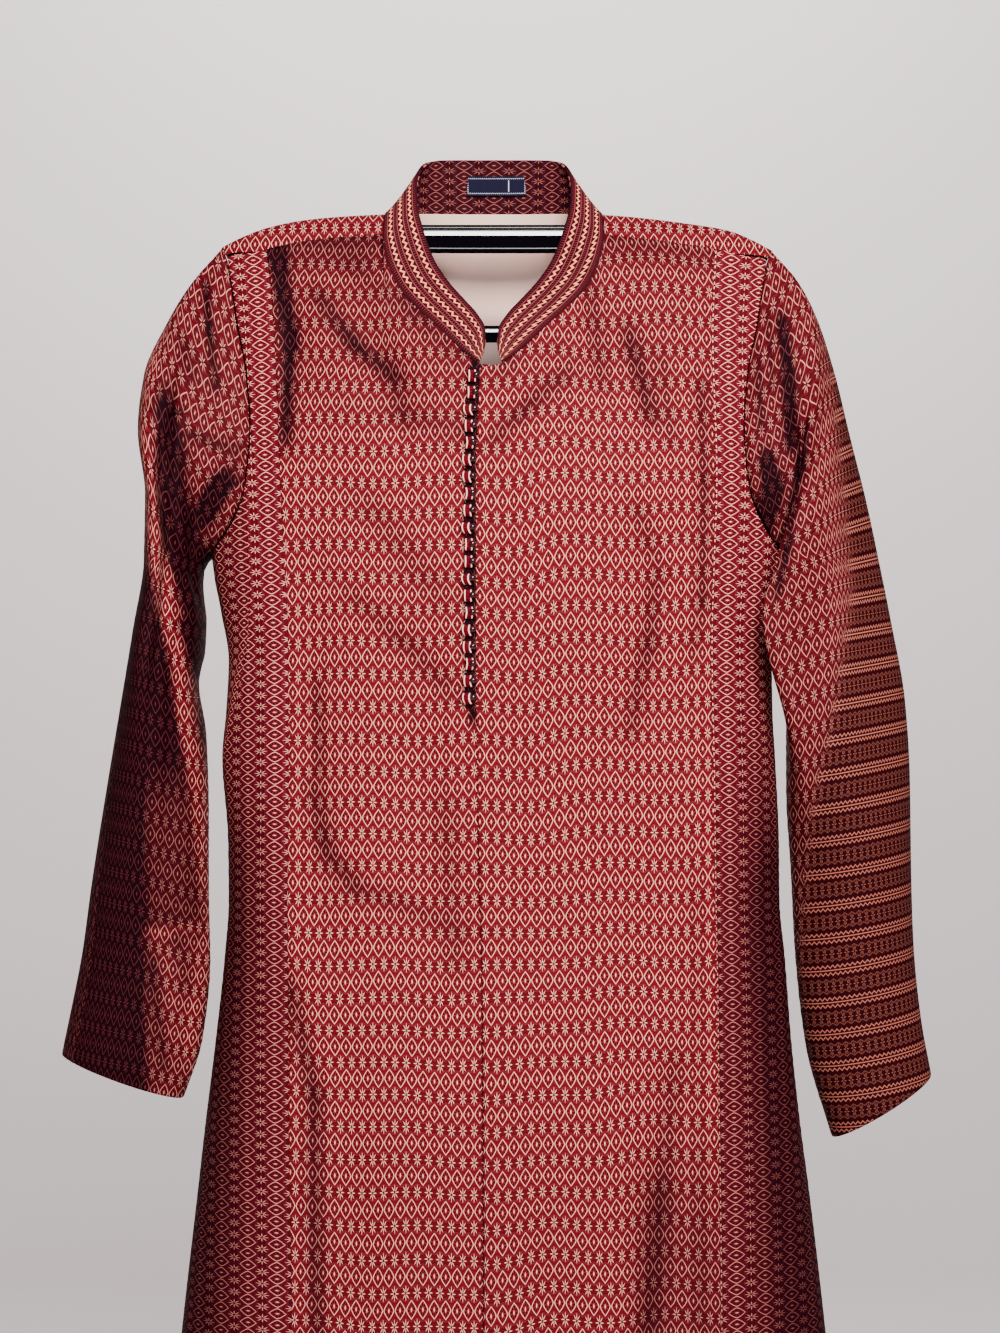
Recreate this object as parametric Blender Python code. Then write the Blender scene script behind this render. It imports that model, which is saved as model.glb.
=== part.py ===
"""Sherwani coat hanging on a slim two-bar hanger, metres, +Z up, the front towards -Y.

The coat is built the way it is cut: two fronts, two side fronts, two side backs, a back in two
halves that comes forward over the shoulders, two-piece sleeves, a stand collar with its facing,
a strip of back lining, a woven neck label, rouleau loops and ball buttons.  Every cloth piece is a thin
wall that follows one garment surface, so neighbouring pieces meet edge to edge.

The garment surface is a stack of flattened rings.  A place on it is an angle round the ring
(0 at the centre front, 90 at the side, 180 at the centre back, negative on the -X side) and a
height.  Near the shoulders the depth closes to a ridge like a quarter of an ellipse.
The origin is the middle of the hanger's top bar.
"""
import math

import bpy
import numpy as np
from mathutils import Vector
from mathutils.bvhtree import BVHTree

# ---------------------------------------------------------------- driving dimensions (m)
CLOTH = 0.0014              # wall of the lined brocade
SEAM_GAP = 0.0003           # space left between neighbouring pieces
HEM_Z = -0.985              # hem below the top bar
RIDGE_FALL = 0.22           # depth below the shoulder ridge where the body is at full depth
ROUNDNESS = 2.3             # exponent of the ring's outline, 2 is an ellipse

# rings of the body: height, half width on the -X side, on the +X side, depth in front, behind
BODY_RINGS = {
    "z":     [0.030, -0.100, -0.200, -0.250, -0.292, -0.330, -0.370, -0.405, -0.470,
              -0.517, -0.560, -0.625, -0.690, -0.743, -0.855, -0.985],
    "left":  [0.2220, 0.2225, 0.2225, 0.2220, 0.2150, 0.2090, 0.2110, 0.2140, 0.2095,
              0.2090, 0.2120, 0.2190, 0.2270, 0.2330, 0.2457, 0.2580],
    "right": [0.2220, 0.2225, 0.2225, 0.2220, 0.2170, 0.2140, 0.2145, 0.2165, 0.2195,
              0.2200, 0.2240, 0.2290, 0.2360, 0.2430, 0.2560, 0.2680],
    "front": [0.0600, 0.0670, 0.0730, 0.0740, 0.0740, 0.0730, 0.0715, 0.0705, 0.0715,
              0.0730, 0.0750, 0.0780, 0.0810, 0.0840, 0.0900, 0.0960],
    "back":  [0.0540, 0.0570, 0.0600, 0.0600, 0.0595, 0.0580, 0.0560, 0.0550, 0.0560,
              0.0580, 0.0600, 0.0630, 0.0660, 0.0690, 0.0740, 0.0790],
}

# shoulder ridge: distance from the middle, height on the -X side, on the +X side
RIDGE = {
    "x":     [0.000, 0.060, 0.087, 0.120, 0.150, 0.180, 0.200, 0.2145, 0.225],
    "left":  [0.0190, 0.0185, 0.0175, 0.0158, 0.0130, 0.0068, -0.0008, -0.0083, -0.0150],
    "right": [0.0190, 0.0180, 0.0168, 0.0138, 0.0100, 0.0050, -0.0030, -0.0110, -0.0180],
}
NECK_HALF = 0.0855          # half width of the neck at the shoulder ridge
NAPE_RISE = 0.130           # how far the back stands above the ridge line at the nape
SEAM_DROP = 0.0195          # the shoulder seam lies this far below the ridge, in front
SEAM_DROP_AT_ARM = 0.0080

# armhole, going round from the ridge (0) to the underarm (180): angle on the body's ring
ARMHOLE_TOP, ARMHOLE_BOTTOM = -0.0083, -0.2500
ARMHOLE = {
    "turn":  [0, 40, 60, 80, 100, 125, 145, 160, 180],
    "angle": [73.5, 66.0, 62.3, 57.5, 55.6, 57.8, 65.4, 76.5, 90.0],
}

# seams that run down the body
FRONT_SEAM = {              # princess seam: height, distance from x = 0 on each side
    "z":     [0.000, -0.032, -0.090, -0.187, -0.256, -0.316, -0.414, -0.511, -0.583,
              -0.675, -0.756, -0.830, -0.985],
    "left":  [0.1810, 0.1755, 0.1700, 0.1650, 0.1612, 0.1588, 0.1580, 0.1590, 0.1582,
              0.1572, 0.1552, 0.1538, 0.1525],
    "right": [0.1700, 0.1670, 0.1642, 0.1662, 0.1640, 0.1625, 0.1645, 0.1655, 0.1666,
              0.1672, 0.1679, 0.1682, 0.1688],
}
SIDE_SEAM = {               # side seam: height, angle on each side
    "z":     [0.000, -0.198, -0.256, -0.300, -0.333, -0.365, -0.400, -0.440, -0.985],
    "left":  [57.6, 57.6, 57.0, 61.0, 67.5, 73.0, 80.0, 88.0, 93.0],
    "right": [82.0, 83.0, 83.5, 84.0, 84.5, 85.0, 85.5, 86.0, 92.0],
}
BACK_SEAM = {               # back princess seam: height, distance from x = 0
    "z":     [0.000, -0.118, -0.180, -0.250, -0.330, -0.420, -0.560, -0.750, -0.985],
    "x":     [0.1880, 0.1880, 0.1660, 0.1490, 0.1370, 0.1320, 0.1360, 0.1460, 0.1580],
}
BACK_SEAM_TURN = 85.0       # where the back princess seam leaves the armhole
FRONT_EDGE = {              # overlapping edge of the +X front
    "z":     [-0.104, -0.187, -0.277, -0.457, -0.585, -0.830, -0.985],
    "x":     [-0.0128, -0.0158, -0.0158, -0.0143, -0.0112, -0.0103, -0.0103],
}
UNDERLAP_X = 0.0120         # edge of the -X front, hidden under the other one
UNDERLAP_DEPTH = 0.0022     # how far it lies behind it

# neck seam and top edge of the collar, from the nape to the centre front
COLLAR = {
    "neck_x": [0.0000, 0.0320, 0.0600, 0.0790, 0.0855, 0.0852, 0.0815, 0.0710, 0.0573, 0.0430,
               0.0315, 0.0215, 0.0130, 0.0060],
    "neck_z": [0.0280, 0.0275, 0.0258, 0.0212, 0.0165, -0.0035, -0.0235, -0.0460, -0.0620, -0.0755,
               -0.0868, -0.0965, -0.1035, -0.1080],
    "top_x":  [0.0000, 0.0260, 0.0470, 0.0570, 0.0605, 0.0595, 0.0545, 0.0450, 0.0335, 0.0212,
               0.0112, 0.0050, 0.0048, 0.0060],
    "top_y":  [0.0420, 0.0412, 0.0360, 0.0240, 0.0090, -0.0040, -0.0130, -0.0210, -0.0275, -0.0345,
               -0.0410, -0.0500, -0.0570, -0.0590],
    "top_z":  [0.0690, 0.0686, 0.0670, 0.0615, 0.0450, 0.0260, 0.0050, -0.0215, -0.0395, -0.0540,
               -0.0660, -0.0790, -0.0920, -0.1030],
}
COLLAR_STATIONS = len(COLLAR["neck_x"]) - 1
COLLAR_END = 12.55          # station where the rounded front end stops
COLLAR_FOOT = 0.0016        # space between the neck seam and the collar's lower edge
NECK_CENTRE = {"z": [0.030, -0.060, -0.105], "x": [-0.0025, -0.0035, -0.0047]}
COLLAR_CLOTH = 0.0012

# rings of the sleeves from the armhole to the cuff: outer edge, inner edge, middle, depths.
# "lip" is how far the front of the ring swings inwards over the side of the body.
SLEEVE_RINGS = {
    "left": {
        "x_out": [0.2145, 0.2350, 0.2560, 0.2740, 0.2785, 0.2725, 0.2730, 0.2815, 0.2920, 0.3050,
                  0.3150, 0.3237, 0.3330, 0.3401],
        "z_out": [-0.0083, -0.0320, -0.0670, -0.1080, -0.1500, -0.2000, -0.2500, -0.3050, -0.3650,
                  -0.4400, -0.5000, -0.5590, -0.6050, -0.6373],
        "x_in":  [0.2220, 0.2265, 0.2290, 0.2295, 0.2285, 0.2270, 0.2280, 0.2330, 0.2270, 0.2250,
                  0.2250, 0.2240, 0.2300, 0.2450],
        "z_in":  [-0.2500, -0.2560, -0.2640, -0.2740, -0.2870, -0.3020, -0.3230, -0.3500, -0.3900,
                  -0.4500, -0.5100, -0.5650, -0.6250, -0.6716],
        "y":     [0.000, -0.001, -0.002, -0.003, -0.004, -0.004, -0.004, -0.004, -0.003, -0.002,
                  0.000, 0.002, 0.003, 0.004],
        "front": [0.040, 0.046, 0.052, 0.056, 0.058, 0.060, 0.062, 0.063, 0.060, 0.054,
                  0.047, 0.040, 0.035, 0.030],
        "back":  [0.036, 0.042, 0.047, 0.052, 0.055, 0.057, 0.059, 0.060, 0.058, 0.053,
                  0.046, 0.040, 0.035, 0.030],
        "lip":   [0.000, 0.000, 0.002, 0.004, 0.004, 0.002, 0.000, 0.000, 0.000, 0.000,
                  0.000, 0.000, 0.000, 0.000],
    },
    "right": {
        "x_out": [0.2145, 0.2330, 0.2490, 0.2620, 0.2735, 0.2860, 0.2960, 0.3060, 0.3160, 0.3205,
                  0.3220, 0.3250, 0.3310, 0.3393],
        "z_out": [-0.0110, -0.0330, -0.0660, -0.1080, -0.1570, -0.2080, -0.2560, -0.3050, -0.3600,
                  -0.4200, -0.4900, -0.5550, -0.6100, -0.6536],
        "x_in":  [0.2220, 0.2265, 0.2290, 0.2295, 0.2290, 0.2275, 0.2260, 0.2250, 0.2245, 0.2250,
                  0.2290, 0.2330, 0.2410, 0.2613],
        "z_in":  [-0.2500, -0.2570, -0.2650, -0.2750, -0.2880, -0.3020, -0.3180, -0.3450, -0.3850,
                  -0.4350, -0.4950, -0.5620, -0.6300, -0.7020],
        "y":     [0.000, -0.002, -0.004, -0.007, -0.010, -0.012, -0.013, -0.012, -0.010, -0.006,
                  -0.002, 0.002, 0.003, 0.004],
        "front": [0.040, 0.046, 0.052, 0.055, 0.057, 0.058, 0.058, 0.057, 0.054, 0.050,
                  0.045, 0.040, 0.035, 0.031],
        "back":  [0.036, 0.042, 0.046, 0.049, 0.050, 0.051, 0.051, 0.050, 0.049, 0.047,
                  0.044, 0.040, 0.035, 0.031],
        "lip":   [0.000, 0.004, 0.010, 0.019, 0.032, 0.048, 0.058, 0.052, 0.036, 0.016,
                  0.000, 0.000, 0.000, 0.000],
    },
}
SLEEVE_RING_COUNT = 13
HIND_SEAM = {"left": [-55.0, -25.0, 12.0, 30.0, 38.0, 42.0],      # turn, armhole to cuff
             "right": [-55.0, -48.0, -40.0, -34.0, -30.0, -28.0]}
FRONT_ARM_SEAM = 186.0      # just behind the inner edge
ARMHOLE_FADE = 0.14         # share of the sleeve over which the armhole's shape fades out

# largest folds: start x, start z, end x, end z, depth, half width
FRONT_FOLDS = [
    (-0.134, -0.030, -0.085, -0.105, 0.0050, 0.016),
    (-0.095, -0.085, -0.070, -0.150, 0.0040, 0.014),
    (-0.155, -0.020, -0.150, -0.120, 0.0035, 0.012),
    (0.072, -0.050, 0.083, -0.115, 0.0045, 0.013),
    (0.105, -0.085, 0.116, -0.140, 0.0035, 0.013),
    (0.118, -0.250, 0.124, -0.370, 0.0050, 0.016),
    (-0.145, -0.270, -0.138, -0.510, 0.0050, 0.020),
    (-0.060, -0.330, -0.050, -0.500, 0.0030, 0.022),
    (0.126, -0.660, 0.120, -0.985, 0.0060, 0.020),
    (-0.115, -0.640, -0.120, -0.985, 0.0050, 0.024),
    (0.030, -0.800, 0.035, -0.985, 0.0030, 0.024),
]
BACK_FOLDS = [
    (-0.060, -0.050, -0.105, -0.190, 0.0045, 0.018),
    (0.055, -0.060, 0.110, -0.210, 0.0045, 0.018),
    (-0.085, -0.300, -0.070, -0.560, 0.0050, 0.022),
    (0.095, -0.280, 0.080, -0.480, 0.0045, 0.020),
    (0.010, -0.560, 0.000, -0.985, 0.0060, 0.026),
    (-0.120, -0.650, -0.135, -0.985, 0.0060, 0.024),
    (0.115, -0.620, 0.130, -0.985, 0.0055, 0.024),
]
# folds of the sleeves: start turn, start share, end turn, end share, depth, half width (degrees)
SLEEVE_FOLDS = {
    "left": [
        (20.0, 0.04, 95.0, 0.26, 0.0050, 13.0),
        (60.0, 0.22, 75.0, 0.52, 0.0090, 15.0),
        (130.0, 0.12, 150.0, 0.30, 0.0080, 13.0),
        (120.0, 0.42, 110.0, 0.80, 0.0050, 16.0),
        (-60.0, 0.10, -95.0, 0.40, 0.0060, 16.0),
        (-100.0, 0.50, -80.0, 0.90, 0.0050, 18.0),
    ],
    "right": [
        (25.0, 0.05, 100.0, 0.24, 0.0060, 13.0),
        (105.0, 0.14, 135.0, 0.30, 0.0100, 13.0),
        (45.0, 0.25, 110.0, 0.42, 0.0060, 14.0),
        (60.0, 0.50, 100.0, 0.66, 0.0040, 15.0),
        (-60.0, 0.10, -100.0, 0.38, 0.0060, 16.0),
        (-90.0, 0.50, -70.0, 0.90, 0.0050, 18.0),
    ],
}

# closure
PAIRS = 20                  # loops and buttons
CLOSURE_TOP, CLOSURE_BOTTOM = -0.1160, -0.3580
LOOP_REACH = 0.0098         # how far a loop stands out from the edge
LOOP_HALF = 0.0043          # half the space between its two legs
CORD_RADIUS = 0.0011
BALL_RADIUS = 0.0031

# hanger
BAR_HEIGHT, BAR_DEPTH = 0.0210, 0.0090
TOP_BAR_HALF = 0.0890       # straight middle of the top bar
TROUSER_BAR_Z, TROUSER_BAR_HEIGHT = -0.0757, 0.0125
HANGER_HALF = 0.1990

# where the grids have their lines, so that neighbours share the points of a seam
ARMHOLE_TURNS = [-55.0, -38.0, -18.0, 0.0, 22.0, 41.0, 60.0, 80.0, 100.0, 122.0, 142.0, 163.0,
                 186.0, 205.0, 225.0, 250.0, 275.0, 290.0, 305.0]
SHOULDER_TURN = 22.0        # the shoulder seam meets the armhole here
NECK_STATIONS = [0.0, 0.35, 0.70, 1.2, 1.9, 2.5, 3.0, 3.5, 4.0, 4.5, 5.0]
COLLAR_STATIONS_IN_FRONT = [5.0, 5.6, 6.2, 6.9, 7.6, 8.4, 9.2, 10.0, 10.8, 11.6, 12.15]
FRONT_HEIGHTS = [-0.232, -0.275, -0.325, -0.380, -0.440, -0.505, -0.575, -0.645, -0.715, -0.785,
                 -0.855, -0.920]
SHOULDER_COLUMNS = 5
SIDE_FRONT_COLUMNS = 4
SLEEVE_ROWS = 19
COLLAR_ROWS = 2

MATERIALS = {               # colour, roughness, metallic
    "brocade": ((0.330, 0.035, 0.045, 1.0), 0.55, 0.0),
    "collar_brocade": ((0.420, 0.120, 0.090, 1.0), 0.55, 0.0),
    "lining": ((0.600, 0.480, 0.400, 1.0), 0.65, 0.0),
    "label": ((0.020, 0.025, 0.070, 1.0), 0.60, 0.0),
    "rouleau": ((0.160, 0.020, 0.028, 1.0), 0.50, 0.0),
    "button": ((0.045, 0.006, 0.012, 1.0), 0.25, 0.0),
    "hanger": ((0.010, 0.010, 0.011, 1.0), 0.15, 0.0),
}
SIDES = {"left": -1.0, "right": 1.0}


# ---------------------------------------------------------------- small helpers
def smooth(value, xs, ys):
    """Read a table with a cubic curve through its rows, flat at a row that is a peak."""
    xs, ys = np.asarray(xs, float), np.asarray(ys, float)
    if xs[0] > xs[-1]:
        xs, ys = xs[::-1], ys[::-1]
    step = np.diff(xs)
    slope = np.diff(ys) / step
    inner = np.where(slope[1:] * slope[:-1] > 0,
                     2 * slope[1:] * slope[:-1] / (slope[1:] + slope[:-1] + 1e-30), 0.0)
    tangent = np.concatenate(([slope[0]], inner, [slope[-1]]))
    value = np.clip(value, xs[0], xs[-1])
    row = np.clip(np.searchsorted(xs, value) - 1, 0, len(step) - 1)
    t = (value - xs[row]) / step[row]
    return ((2 * t**3 - 3 * t**2 + 1) * ys[row] + (t**3 - 2 * t**2 + t) * step[row] * tangent[row]
            + (3 * t**2 - 2 * t**3) * ys[row + 1] + (t**3 - t**2) * step[row] * tangent[row + 1])


def ease(value):
    """Go from 0 to 1 with flat ends."""
    value = np.clip(value, 0.0, 1.0)
    return value * value * (3 - 2 * value)


def by_side(x, left, right):
    """Choose between the tables of the two sides by the sign of x."""
    return np.where(x < 0, left, right)


def fold_offset(across, along, folds, stretch=1.0):
    """Sum of soft troughs: each is a bell across its line and fades out at the line's ends."""
    total = np.zeros(np.broadcast(across, along).shape)
    for x1, z1, x2, z2, depth, width in folds:
        run_x, run_z = x2 - x1, (z2 - z1) * stretch
        length = math.hypot(run_x, run_z)
        rel_x, rel_z = across - x1, (along - z1) * stretch
        place = (rel_x * run_x + rel_z * run_z) / length
        away = (rel_x * run_z - rel_z * run_x) / length
        beyond = np.maximum(0.0, np.maximum(-place, place - length))
        total = total + depth * np.exp(-(away / width) ** 2 - (beyond / (1.6 * width)) ** 2)
    return total


# ---------------------------------------------------------------- the garment's surface
def half_width(x, z):
    """Half width of the body's ring at a height, for the side that x is on."""
    return by_side(x, smooth(z, BODY_RINGS["z"], BODY_RINGS["left"]),
                   smooth(z, BODY_RINGS["z"], BODY_RINGS["right"]))


def ridge(x):
    """Height of the shoulder ridge."""
    away = np.abs(x)
    return by_side(x, smooth(away, RIDGE["x"], RIDGE["left"]),
                   smooth(away, RIDGE["x"], RIDGE["right"]))


def closing(fall):
    """Share of the full depth that the body has at a distance below the ridge."""
    rest = 1 - np.clip(fall / RIDGE_FALL, 0.0, 1.0)
    return np.sqrt(np.maximum(0.0, 1 - rest * rest))


def angle_of(x, z, behind=False):
    """Angle on the ring where the ring is at x."""
    share = np.clip(np.abs(x) / half_width(x, z), 0.0, 1.0)
    angle = np.degrees(np.arcsin(share ** (ROUNDNESS / 2)))
    return np.where(x < 0, -1.0, 1.0) * np.where(behind, 180 - angle, angle)


def body(angle, z):
    """Point of the garment's surface at an angle round the ring and a height."""
    turn = np.radians(np.abs(angle))
    side = np.where(angle < 0, -1.0, 1.0)
    across = np.abs(np.sin(turn)) ** (2 / ROUNDNESS)
    deep = np.abs(np.cos(turn)) ** (2 / ROUNDNESS)
    x = side * across * half_width(side, z)
    front = np.cos(turn) >= 0
    share = np.clip(np.abs(x - neck_centre(z)) / NECK_HALF, 0, 1)
    nape = NAPE_RISE * (1 - share**2) ** 1.4
    fall_front = ridge(x) - z
    fall_back = fall_front + nape
    depth_front = smooth(z, BODY_RINGS["z"], BODY_RINGS["front"]) * closing(fall_front)
    depth_back = smooth(z, BODY_RINGS["z"], BODY_RINGS["back"]) * closing(fall_back)
    flat = ease(fall_front / 0.05)
    depth_front = depth_front - fold_offset(x, z, FRONT_FOLDS) * flat
    depth_back = depth_back - fold_offset(x, z, BACK_FOLDS) * flat
    y = np.where(front, -depth_front * deep, depth_back * deep)
    return np.stack(np.broadcast_arrays(x, y, z), axis=-1)


def body_at(x, z, behind=False):
    """Point of the garment's surface at x and a height, in front or behind."""
    return body(angle_of(x, z, behind), z)


def armhole(side, turn):
    """Angle and height on the body where the armhole runs, 0 at the ridge, 180 underneath."""
    round_turn = np.abs((turn + 180.0) % 360.0 - 180.0)
    front = np.sin(np.radians(turn)) >= 0
    top = ARMHOLE_TOP if side < 0 else ARMHOLE_TOP - 0.0027
    middle, half = (top + ARMHOLE_BOTTOM) / 2, (top - ARMHOLE_BOTTOM) / 2
    height = middle + half * np.cos(np.radians(turn))
    angle = smooth(round_turn, ARMHOLE["turn"], ARMHOLE["angle"])
    return side * np.where(front, angle, 180 - angle), height


def armhole_turn_at(side, height):
    """How far round the armhole a height is."""
    top = ARMHOLE_TOP if side < 0 else ARMHOLE_TOP - 0.0027
    middle, half = (top + ARMHOLE_BOTTOM) / 2, (top - ARMHOLE_BOTTOM) / 2
    return np.degrees(np.arccos(np.clip((height - middle) / half, -1, 1)))


def shoulder_seam_fall(x):
    """How far below the ridge the shoulder seam lies."""
    towards_arm = ease((np.abs(x) - 0.180) / 0.035)
    return SEAM_DROP + (SEAM_DROP_AT_ARM - SEAM_DROP) * towards_arm


def neck_centre(z):
    return smooth(z, NECK_CENTRE["z"], NECK_CENTRE["x"])


def collar_column(station, name):
    return smooth(station, np.arange(COLLAR_STATIONS + 1), COLLAR[name])


def neck_seam(side, station):
    """x, height and whether it is behind the ridge, along the neck seam."""
    z = collar_column(station, "neck_z")
    x = neck_centre(z) + side * collar_column(station, "neck_x")
    z = z + (ridge(x) - z) * ease(1 - np.abs(station - RIDGE_STATION))
    return x, z, station < RIDGE_STATION


RIDGE_STATION = 4.0         # the neck seam crosses the ridge here
SHOULDER_STATION = 5.0      # and meets the shoulder seam here


def seam_corner(side):
    """x where the princess seam meets the shoulder seam."""
    name = "left" if side < 0 else "right"
    z = -0.009
    for _ in range(8):
        x = side * smooth(z, FRONT_SEAM["z"], FRONT_SEAM[name])
        z = ridge(x) - shoulder_seam_fall(x)
    return x


# ---------------------------------------------------------------- panels as functions of two shares
def front_panel(side, across, down):
    """A front, across from the centre edge to the princess seam, down from neck or shoulder.

    The top edge follows the neck seam from the centre to the shoulder seam, then the shoulder
    seam.  Lower down the columns spread evenly between the two long edges.
    """
    name = "left" if side < 0 else "right"
    neck_share = FRONT_NECK_SHARE
    station = np.interp(neck_share - across, FRONT_NECK_SHARES, FRONT_NECK_STATIONS)
    neck_x, neck_z, _ = neck_seam(side, np.clip(station, SHOULDER_STATION, COLLAR_STATIONS))
    point_x, point_z, _ = neck_seam(side, np.float64(SHOULDER_STATION))
    corner_x = seam_corner(side)
    out = (across - neck_share) / (1 - neck_share)
    seam_x = point_x + (corner_x - point_x) * out
    seam_z = ridge(seam_x) - shoulder_seam_fall(seam_x)
    on_neck = across < neck_share
    edge_top = UNDERLAP_X if side < 0 else FRONT_EDGE["x"][0]
    past = np.clip(1 - across / FRONT_EXTENSION, 0, 1.2)
    top_x = np.where(on_neck, neck_x + (edge_top - neck_x) * past, seam_x)
    top_z = np.where(on_neck, neck_z - 0.002 * past, seam_z)
    z = top_z + (HEM_Z - top_z) * down
    inner = np.full_like(z, UNDERLAP_X) if side < 0 else smooth(z, FRONT_EDGE["z"], FRONT_EDGE["x"])
    outer = side * smooth(z, FRONT_SEAM["z"], FRONT_SEAM[name])
    inner_top = UNDERLAP_X if side < 0 else smooth(top_z, FRONT_EDGE["z"], FRONT_EDGE["x"])
    outer_top = side * smooth(top_z, FRONT_SEAM["z"], FRONT_SEAM[name])
    top_share = (top_x - inner_top) / (outer_top - inner_top)
    even = ease(down / 0.35)
    share = top_share + (across - top_share) * even
    x = inner + (outer - inner) * share
    points = body_at(x, z)
    if side < 0:
        edge = smooth(z, FRONT_EDGE["z"], FRONT_EDGE["x"])
        points[..., 1] += UNDERLAP_DEPTH * ease((x - edge + 0.020) / 0.013)
    return points


def side_front_panel(side, across, down):
    """A side front, across from the princess seam to the armhole and the side seam."""
    name = "left" if side < 0 else "right"
    corner_x = seam_corner(side)
    arm_angle, arm_z = armhole(side, np.float64(SHOULDER_TURN))
    arm_x = body(arm_angle, arm_z)[..., 0]
    top_x = corner_x + (arm_x - corner_x) * across
    top_z = ridge(top_x) - shoulder_seam_fall(top_x)
    top_z = top_z + (arm_z - (ridge(arm_x) - shoulder_seam_fall(arm_x))) * across
    z = top_z + (HEM_Z - top_z) * down
    inner = angle_of(side * smooth(z, FRONT_SEAM["z"], FRONT_SEAM[name]), z)
    seam = side * smooth(z, SIDE_SEAM["z"], SIDE_SEAM[name])
    turn = armhole_turn_at(side, z)
    hole, _ = armhole(side, turn)
    outer = np.where(z > side_join(side)[1], hole, seam)
    return body(inner + (outer - inner) * across, z)


def side_join(side):
    """Turn and height of the armhole where the side seam starts."""
    name = "left" if side < 0 else "right"
    turns = np.linspace(100.0, 179.0, 400)
    angles, heights = armhole(side, turns)
    seam = side * smooth(heights, SIDE_SEAM["z"], SIDE_SEAM[name])
    place = int(np.argmax(side * (angles - seam) > 0))
    return turns[place], heights[place]


def side_back_panel(side, across, down):
    """A side back, across from the side seam to the back princess seam, under the armhole."""
    name = "left" if side < 0 else "right"
    first = side_join(side)[0]
    last = 360.0 - BACK_SEAM_TURN
    turn = first + (last - first) * across
    top_angle, top_z = armhole(side, turn)
    z = top_z + (HEM_Z - top_z) * down

    def edges(height):
        seam = side * smooth(height, SIDE_SEAM["z"], SIDE_SEAM[name])
        back = angle_of(side * smooth(height, BACK_SEAM["z"], BACK_SEAM["x"]), height, True)
        return seam, back

    start, end = edges(top_z)
    top_share = (top_angle - start) / (end - start)
    start, end = edges(z)
    share = top_share + (across - top_share) * ease(down / 0.30)
    return body(start + (end - start) * share, z)


def over_ridge_way(fall):
    """Way down from the ridge: the quarter ellipse's angle first, then even steps of height."""
    share = 1 - np.clip(np.abs(fall) / RIDGE_FALL, 0, 1)
    steep = np.abs(fall) < RIDGE_FALL
    return np.sign(fall) * np.where(steep, np.arccos(share),
                                    math.pi / 2 + (np.abs(fall) - RIDGE_FALL) / WAY_STEP)


def over_ridge_fall(way):
    """Height below the ridge for a way, the inverse of over_ridge_way."""
    bent = RIDGE_FALL * (1 - np.cos(np.minimum(np.abs(way), math.pi / 2)))
    return np.sign(way) * (bent + np.maximum(0, np.abs(way) - math.pi / 2) * WAY_STEP)


WAY_STEP = 0.12             # height that counts as one unit of way, below full depth


def back_edge(side, fall):
    """Distance from x = 0 of the back's outer edge: the armhole, then the back princess seam."""
    edge = np.full_like(fall, 0.2145)
    for _ in range(4):
        z = ridge(side * edge) - np.abs(fall)
        seam = smooth(z, BACK_SEAM["z"], BACK_SEAM["x"])
        for sign in SIDES.values():
            start_z = armhole(sign, np.float64(BACK_SEAM_TURN))[1]
            hole_angle, _ = armhole(sign, armhole_turn_at(sign, z))
            hole = np.abs(body(hole_angle, z)[..., 0])
            edge = np.where(side == sign, np.where(z > start_z, hole, seam), edge)
    return edge


def back_panel(across, down):
    """The back, across from the -X princess seam to the +X one, down from the shoulder seams.

    Its top edge runs up the -X shoulder seam, round the neck and down the +X shoulder seam; its
    upper side edges are the armholes.  "fall" is the way over the ridge: negative in front.
    """
    out = (across - 0.5) * 2                     # 0 at the nape, -1 and 1 at the outer edges
    side = np.where(out < 0, -1.0, 1.0)
    station = np.interp(np.abs(out), BACK_NECK_SHARES, NECK_STATIONS)
    neck_x, neck_z, behind = neck_seam(side, np.clip(station, 0, SHOULDER_STATION))
    point_x, _, _ = neck_seam(side, np.float64(SHOULDER_STATION))
    beyond = (np.abs(out) - BACK_NECK_SHARE) / (1 - BACK_NECK_SHARE)
    seam_x = point_x + (side * SHOULDER_SEAM_END - point_x) * beyond
    on_neck = np.abs(out) < BACK_NECK_SHARE
    top_x = np.where(on_neck, neck_x, seam_x)
    top_fall = np.where(on_neck, np.where(behind, 0.0, neck_z - ridge(neck_x)),
                        -shoulder_seam_fall(seam_x))
    rise = np.where(on_neck & behind, neck_z - ridge(neck_x), 0.0)
    start = over_ridge_way(top_fall)
    finish = over_ridge_way(ridge(top_x) - HEM_Z)
    way = start + (finish - start) * np.maximum(down, 0.0) ** ROWS_TO_TOP + np.minimum(down, 0.0)
    fall = over_ridge_fall(way)
    even = ease((way - start) / 3.0)
    share = top_x / back_edge(side, top_fall)
    share = share + (out - share) * even
    level = ease(down / 0.9)                     # brings every column to the same hem
    extra = np.zeros_like(fall)
    for _ in range(4):
        x = share * back_edge(side, fall + extra)
        extra = (ridge(x) - ridge(top_x)) * level
    z = ridge(x) - np.abs(fall + extra) + rise * (1 - ease(down / 0.16))
    in_front = (fall < 0)[..., None]
    return np.where(in_front, body_at(x, z), body_at(x, z, True))


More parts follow.
